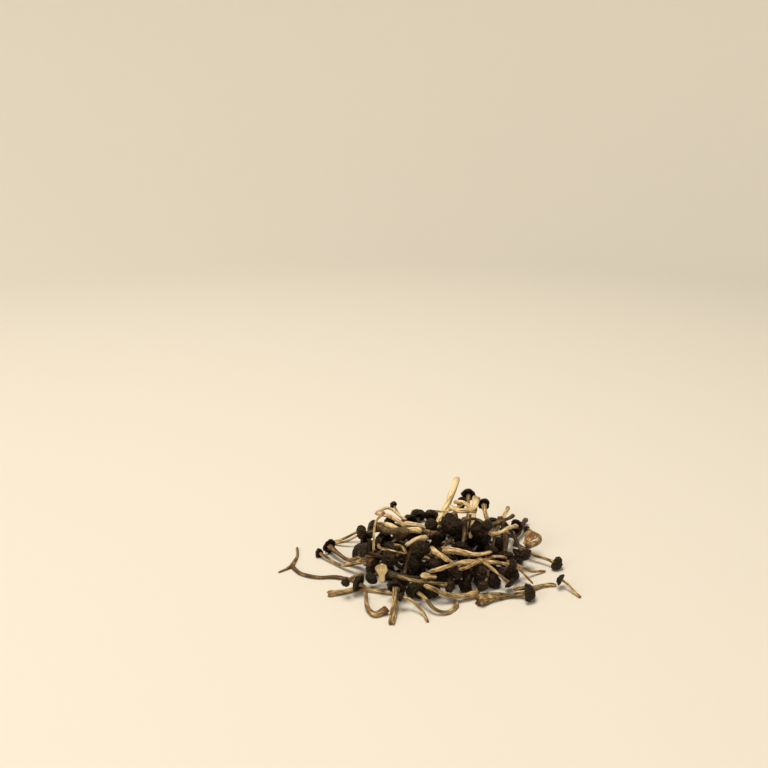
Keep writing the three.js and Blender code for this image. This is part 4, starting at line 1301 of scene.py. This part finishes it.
# %% The material of a slice
FLESH_TONES = [(0.34, "75603A"), (0.47, "A89263"), (0.56, "C4B183"), (0.7, "D8C9A0")]
FLESH_EDGE = "5E4424"
FLESH_FIBRE_MM = 0.6
FLESH_PATCH_MM = 3.0
FLESH_DRAWN_OUT = (1.0, 1.0, 0.3)


def cut_flesh():
    """Cut flesh: cream with faint fibres, brownish along the cut edge."""
    material, tree = empty_material("cut_flesh")
    grain = add(tree, "ShaderNodeAttribute", attribute_name="grain").outputs["Vector"]
    rim_mark = add(tree, "ShaderNodeAttribute", attribute_name="rim").outputs["Fac"]
    along = add(tree, "ShaderNodeVectorMath", {0: grain, 1: FLESH_DRAWN_OUT}, operation="MULTIPLY")
    fibres = add(tree, "ShaderNodeTexNoise", {
        "Vector": along, "Scale": 1 / FLESH_FIBRE_MM, "Detail": 5.0, "Roughness": 0.6,
    })
    patches = add(tree, "ShaderNodeTexNoise", {
        "Vector": grain, "Scale": 1 / FLESH_PATCH_MM, "Detail": 3.0, "Roughness": 0.6,
    })
    both = add(tree, "ShaderNodeMath", {0: fibres, 1: patches}, operation="ADD")
    both = add(tree, "ShaderNodeMath", {0: both, 1: 0.5}, operation="MULTIPLY")
    colour = add(tree, "ShaderNodeValToRGB", {0: both})
    set_tones(colour, FLESH_TONES)
    edge = add(tree, "ShaderNodeMapRange", {0: rim_mark, 1: 0.45, 2: 1.0},
               interpolation_type="SMOOTHSTEP")
    uneven = add(tree, "ShaderNodeMapRange", {0: fibres, 1: 0.3, 2: 0.55, 3: 0.4},
                 interpolation_type="SMOOTHSTEP")
    edge = add(tree, "ShaderNodeMath", {0: edge, 1: uneven}, operation="MULTIPLY")
    colour = add(tree, "ShaderNodeMix", {0: edge, 6: colour, 7: linear(FLESH_EDGE)}, data_type="RGBA")
    roughness = add(tree, "ShaderNodeMapRange", {0: fibres, 1: 0.3, 2: 0.7, 3: 0.7, 4: 0.92},
                    interpolation_type="SMOOTHSTEP")
    bumps = add(tree, "ShaderNodeBump", {"Height": fibres, "Distance": 0.2 * MM, "Strength": 0.7})
    shader = add(tree, "ShaderNodeBsdfPrincipled", {
        "Base Color": colour.outputs[2], "Roughness": roughness, "Normal": bumps,
    })
    add(tree, "ShaderNodeOutputMaterial", {"Surface": shader})
    return material


FLESH = cut_flesh()
print(FLESH.name, "nodes:", len(FLESH.node_tree.nodes))

# %% [markdown]
# ## The finished pieces
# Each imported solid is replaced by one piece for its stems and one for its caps, because they are of
# different stuff. One mesh for the whole heap would be simpler, but then no mushroom could be told from
# the next. Clumps that the heap hides get a coarser skin.

# %% Make one piece


def make_piece(name, node, skins, material):
    """One closed piece from its skins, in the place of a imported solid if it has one."""
    points = np.vstack([skin_points for skin_points, _, _, _ in skins])
    points[:, 2] = np.maximum(points[:, 2], 0.0)
    grain = np.vstack([skin_grain for _, _, skin_grain, _ in skins])
    corners = []
    sizes = []
    start = 0
    for skin_points, faces, _, _ in skins:
        for face in faces:
            corners.extend(int(index) + start for index in face)
            sizes.append(len(face))
        start += len(skin_points)
    mesh = bpy.data.meshes.new(name)
    mesh.vertices.add(len(points))
    mesh.vertices.foreach_set("co", (MM * points).ravel())
    mesh.loops.add(len(corners))
    mesh.loops.foreach_set("vertex_index", corners)
    mesh.polygons.add(len(sizes))
    mesh.polygons.foreach_set("loop_start", np.concatenate([[0], np.cumsum(sizes)[:-1]]).astype(int))
    mesh.polygons.foreach_set("use_smooth", [True] * len(sizes))
    mesh.update(calc_edges=True)
    mesh.attributes.new("grain", "FLOAT_VECTOR", "POINT").data.foreach_set("vector", grain.ravel())
    for key in MARKS:
        values = np.concatenate([marks.get(key, np.zeros(len(own))) for own, _, _, marks in skins])
        mesh.attributes.new(key, "FLOAT", "POINT").data.foreach_set("value", values)
    mesh.materials.append(material)
    piece = bpy.data.objects.new(name, mesh)
    bpy.context.scene.collection.objects.link(piece)
    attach(piece, "root")
    if node:
        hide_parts(node)
    return piece


print("marks of a point:", ", ".join(MARKS))

# %% Make them all
made = []
worst = (0.0, "")
number = 0
for piece in pieces:
    hidden = piece.name.startswith("clump_under")
    look = HIDDEN_SHADED_LOOK if hidden else LOOK.get(piece.name, CLUMP_SHADED_LOOK)
    detail = COARSE if hidden else FINE
    stem_skins = []
    cap_skins = []
    flesh_skins = []
    for stem in piece.stems:
        number += 1
        if stem.broad:
            flesh_skins.append(slice_skin(stem, number, look))
            continue
        stem_skins.append(stem_skin(stem, number, look, detail))
        if stem.form:
            cap_skins.append(cap_skin(stem, number, detail))
            cap_skins.append(gill_skin(stem, number, GILL_RINGS[stem.form]))
    if stem_skins:
        made.append(make_piece(f"{piece.name}_stems", piece.name, stem_skins, STEM))
    if cap_skins:
        made.append(make_piece(f"{piece.name}_caps", piece.name, cap_skins, CAP))
    if flesh_skins and piece.kind == "slice":
        made.append(make_piece(f"{piece.name}_flesh", piece.name, flesh_skins, FLESH))
    elif flesh_skins:
        made.append(make_piece(f"{piece.name}_sheet", piece.name, flesh_skins, STEM))
    low, high = (np.array(corner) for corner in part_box(piece.name))
    points = MM * np.vstack([own[0] for own in stem_skins + cap_skins + flesh_skins])
    off = max(np.abs(points.min(axis=0) - low).max(), np.abs(points.max(axis=0) - high).max())
    worst = max(worst, (float(off) / MM, piece.name))
triangles = sum(len(face.vertices) - 2 for piece in made for face in piece.data.polygons)
print("pieces:", len(made), "triangles:", triangles)
print("farthest from its solid's box: %.2f mm, %s" % worst)

# %% [markdown]
# ## Broken bits
# Dried mushrooms crumble as they are poured out. Dark crumbs of cap and stem fill the gaps at the bottom
# of the heap, as painted shade where the pale floor would show between the mushrooms. A particle system
# would drop them through the stems, so each bit is tried at a drawn place and stays only where it is
# clear of every mushroom and of the bits before it. The largest go first.

# %% Find a place for each bit
BIT_TRIES = 9000
BIT_LARGEST = 2.3
BIT_SMALLEST = 0.7
BIT_MIDDLE = (7.0, 7.0)
BIT_REACH = (42.0, 29.0)
BIT_LYING = 0.5  # the height of a bit's middle as a share of its radius
BIT_LONG = 1.3
BIT_ROOM = 1.15  # the visible stems are a little wider than the room kept for them
BIT_PLACE_SEED = 404


def place_bits():
    """The place and size of each broken bit."""
    draw = seeded(BIT_PLACE_SEED)
    taken = lying - np.array([*HEAP_MIDDLE, 0.0])
    bits = []
    for k in range(BIT_TRIES):
        size = BIT_LARGEST + (BIT_SMALLEST - BIT_LARGEST) * k / BIT_TRIES
        far = math.sqrt(draw())
        turn = 2 * math.pi * draw()
        place = np.array([
            BIT_MIDDLE[0] + BIT_REACH[0] * far * math.cos(turn),
            BIT_MIDDLE[1] + BIT_REACH[1] * far * math.sin(turn),
            BIT_LYING * size,
        ])
        room = np.linalg.norm(taken[:, :3] - place, axis=1) - BIT_ROOM * taken[:, 3] - BIT_LONG * size
        if room.min() > 0:
            taken = np.vstack([taken, [*place, size]])
            bits.append((place, size))
    return bits


places = place_bits()
print("places:", len(places))

# %% Make the bits
BIT_SIDES = 10
BIT_RINGS = 7
BIT_WIDE = 0.9
BIT_LUMP, BIT_LUMPS = 0.22, 3
BIT_SKEW, BIT_SKEWS, BIT_SKEW_TURN = 0.2, 2, 4
BIT_CHIP, BIT_CHIPS = 0.1, 5
BIT_SHAPE_SEED = 5000
BIT_KIND_SEED = 405
BROWN_SHARE = 0.25


def bit_skin(place, size, number, look):
    """One broken bit: a rough lump, a little longer than wide, that lies flat."""
    draw = seeded(BIT_SHAPE_SEED + number)
    heading = 2 * math.pi * draw()
    phase = phases_of(draw, 3)
    ahead, side, top = directions(np.array([math.cos(heading), math.sin(heading), 0.0]))
    along = -np.cos(np.linspace(0, math.pi, BIT_RINGS + 2))[1:-1, None]
    turn = 2 * math.pi * np.arange(BIT_SIDES)[None, :] / BIT_SIDES
    rough = BIT_LUMP * np.sin(BIT_LUMPS * turn + phase[0])
    rough = rough + BIT_SKEW * np.sin(BIT_SKEWS * turn + BIT_SKEW_TURN * along + phase[1])
    reach = np.sqrt(1 - along ** 2) * (BIT_WIDE + rough)
    rings = (BIT_LONG * along + BIT_CHIP * np.sin(BIT_CHIPS * turn + phase[2]))[:, :, None] * ahead
    rings = rings + (reach * np.cos(turn))[:, :, None] * side
    rings = rings + BIT_LYING * (reach * np.sin(turn))[:, :, None] * top
    ends = BIT_LONG * ahead
    points, faces = skin(place + size * rings, place - size * ends, place + size * ends)
    marks = {
        # The relief of the lumps paints light and shade on each bit through its material
        "relief": spread(2 * rough, 0.0, 0.0),
        "tone": np.full(len(points), look[0]),
        "red": np.full(len(points), look[1]),
    }
    return points, faces, points - place + [GRAIN_APART * number, 0.0, 0.0], marks


# Painted shade: dark crumbs of cap, and browner ones of stem, laid in the gaps of the heap
dark_shade_bits = []
brown_bits = []
bit_kind = seeded(BIT_KIND_SEED)
for number, (place, size) in enumerate(places):
    bits = brown_bits if bit_kind() < BROWN_SHARE else dark_shade_bits
    bits.append(bit_skin(place, size, number, CLUMP_SHADED_LOOK))
make_piece("broken_bits_dark", None, dark_shade_bits, CAP)
make_piece("broken_bits_brown", None, brown_bits, STEM)
print("broken bits:", len(dark_shade_bits), "dark,", len(brown_bits), "brown")

# %% [markdown]
# ## Floor and light
# The heap stands on a plain pale floor that sweeps up all round into a low wall, so that no view shows
# an edge. A large soft light from above, a weaker one from the left and an even surrounding give the
# soft shadows close under the heap that the photograph has. One hard light would blacken the inside.

# %% The floor
FLOOR_FLAT = 1.0  # metres, as are the rest
FLOOR_SWEEP = 0.7
FLOOR_SIDES = 96
FLOOR_STEPS = 24
FLOOR_COLOUR = "DCDAD3"
FLOOR_ROUGHNESS = 0.7


def plain_floor():
    """A plain pale floor that sweeps up into a low wall all round. It isn't part of the object."""
    points = [(0.0, 0.0, 0.0)]
    for lift in np.linspace(0, math.pi / 2, FLOOR_STEPS + 1):
        radius = FLOOR_FLAT + FLOOR_SWEEP * math.sin(lift)
        height = FLOOR_SWEEP * (1 - math.cos(lift))
        for turn in 2 * math.pi * np.arange(FLOOR_SIDES) / FLOOR_SIDES:
            points.append((radius * math.cos(turn), radius * math.sin(turn), height))
    faces = []
    for k in range(FLOOR_SIDES):
        after = (k + 1) % FLOOR_SIDES
        faces.append((0, 1 + k, 1 + after))
        for low in range(1, 1 + FLOOR_SIDES * FLOOR_STEPS, FLOOR_SIDES):
            faces.append((low + k, low + FLOOR_SIDES + k, low + FLOOR_SIDES + after, low + after))
    mesh = bpy.data.meshes.new("floor")
    mesh.from_pydata(points, [], faces)
    mesh.polygons.foreach_set("use_smooth", [True] * len(faces))
    floor = bpy.data.objects.new("floor", mesh)
    bpy.context.scene.collection.objects.link(floor)
    material, tree = empty_material("floor")
    shader = add(tree, "ShaderNodeBsdfPrincipled", {
        "Base Color": linear(FLOOR_COLOUR), "Roughness": FLOOR_ROUGHNESS,
    })
    add(tree, "ShaderNodeOutputMaterial", {"Surface": shader})
    mesh.materials.append(material)
    floor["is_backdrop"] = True
    return floor


floor = plain_floor()
print("floor faces:", len(floor.data.polygons))

# %% The lights
# Where each light is, its side in metres, its power in watts and its colour
LIGHTS = {
    "light_above": ((-0.34, 0.0, 2.0), 1.0, 41.0, "FFF1DC"),
    "light_left": ((-1.2, -1.0, 1.0), 0.6, 6.4, "FFF3E0"),
}
SURROUNDING_COLOUR = "F6EEE0"
SURROUNDING_LIGHT = 0.25

for name, (place, side, power, code) in LIGHTS.items():
    light = bpy.data.lights.new(name, "AREA")
    light.size = side
    light.energy = power
    light.color = linear(code)[:3]
    lamp = bpy.data.objects.new(name, light)
    lamp.location = place
    lamp.rotation_euler = (-Vector(place)).to_track_quat("-Z", "Y").to_euler()
    bpy.context.scene.collection.objects.link(lamp)

bpy.context.scene.view_settings.view_transform = "Standard"
world = bpy.data.worlds.new("surrounding")
world.use_nodes = True
background = world.node_tree.nodes["Background"]
background.inputs["Color"].default_value = linear(SURROUNDING_COLOUR)
background.inputs["Strength"].default_value = SURROUNDING_LIGHT
bpy.context.scene.world = world
print("lights:", ", ".join(LIGHTS))

# %% Print the sizes and finish
finished_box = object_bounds()
sizes = {
    "packed": [list(corner) for corner in packed_box],
    "finished": [list(corner) for corner in finished_box],
}
print(sizes)
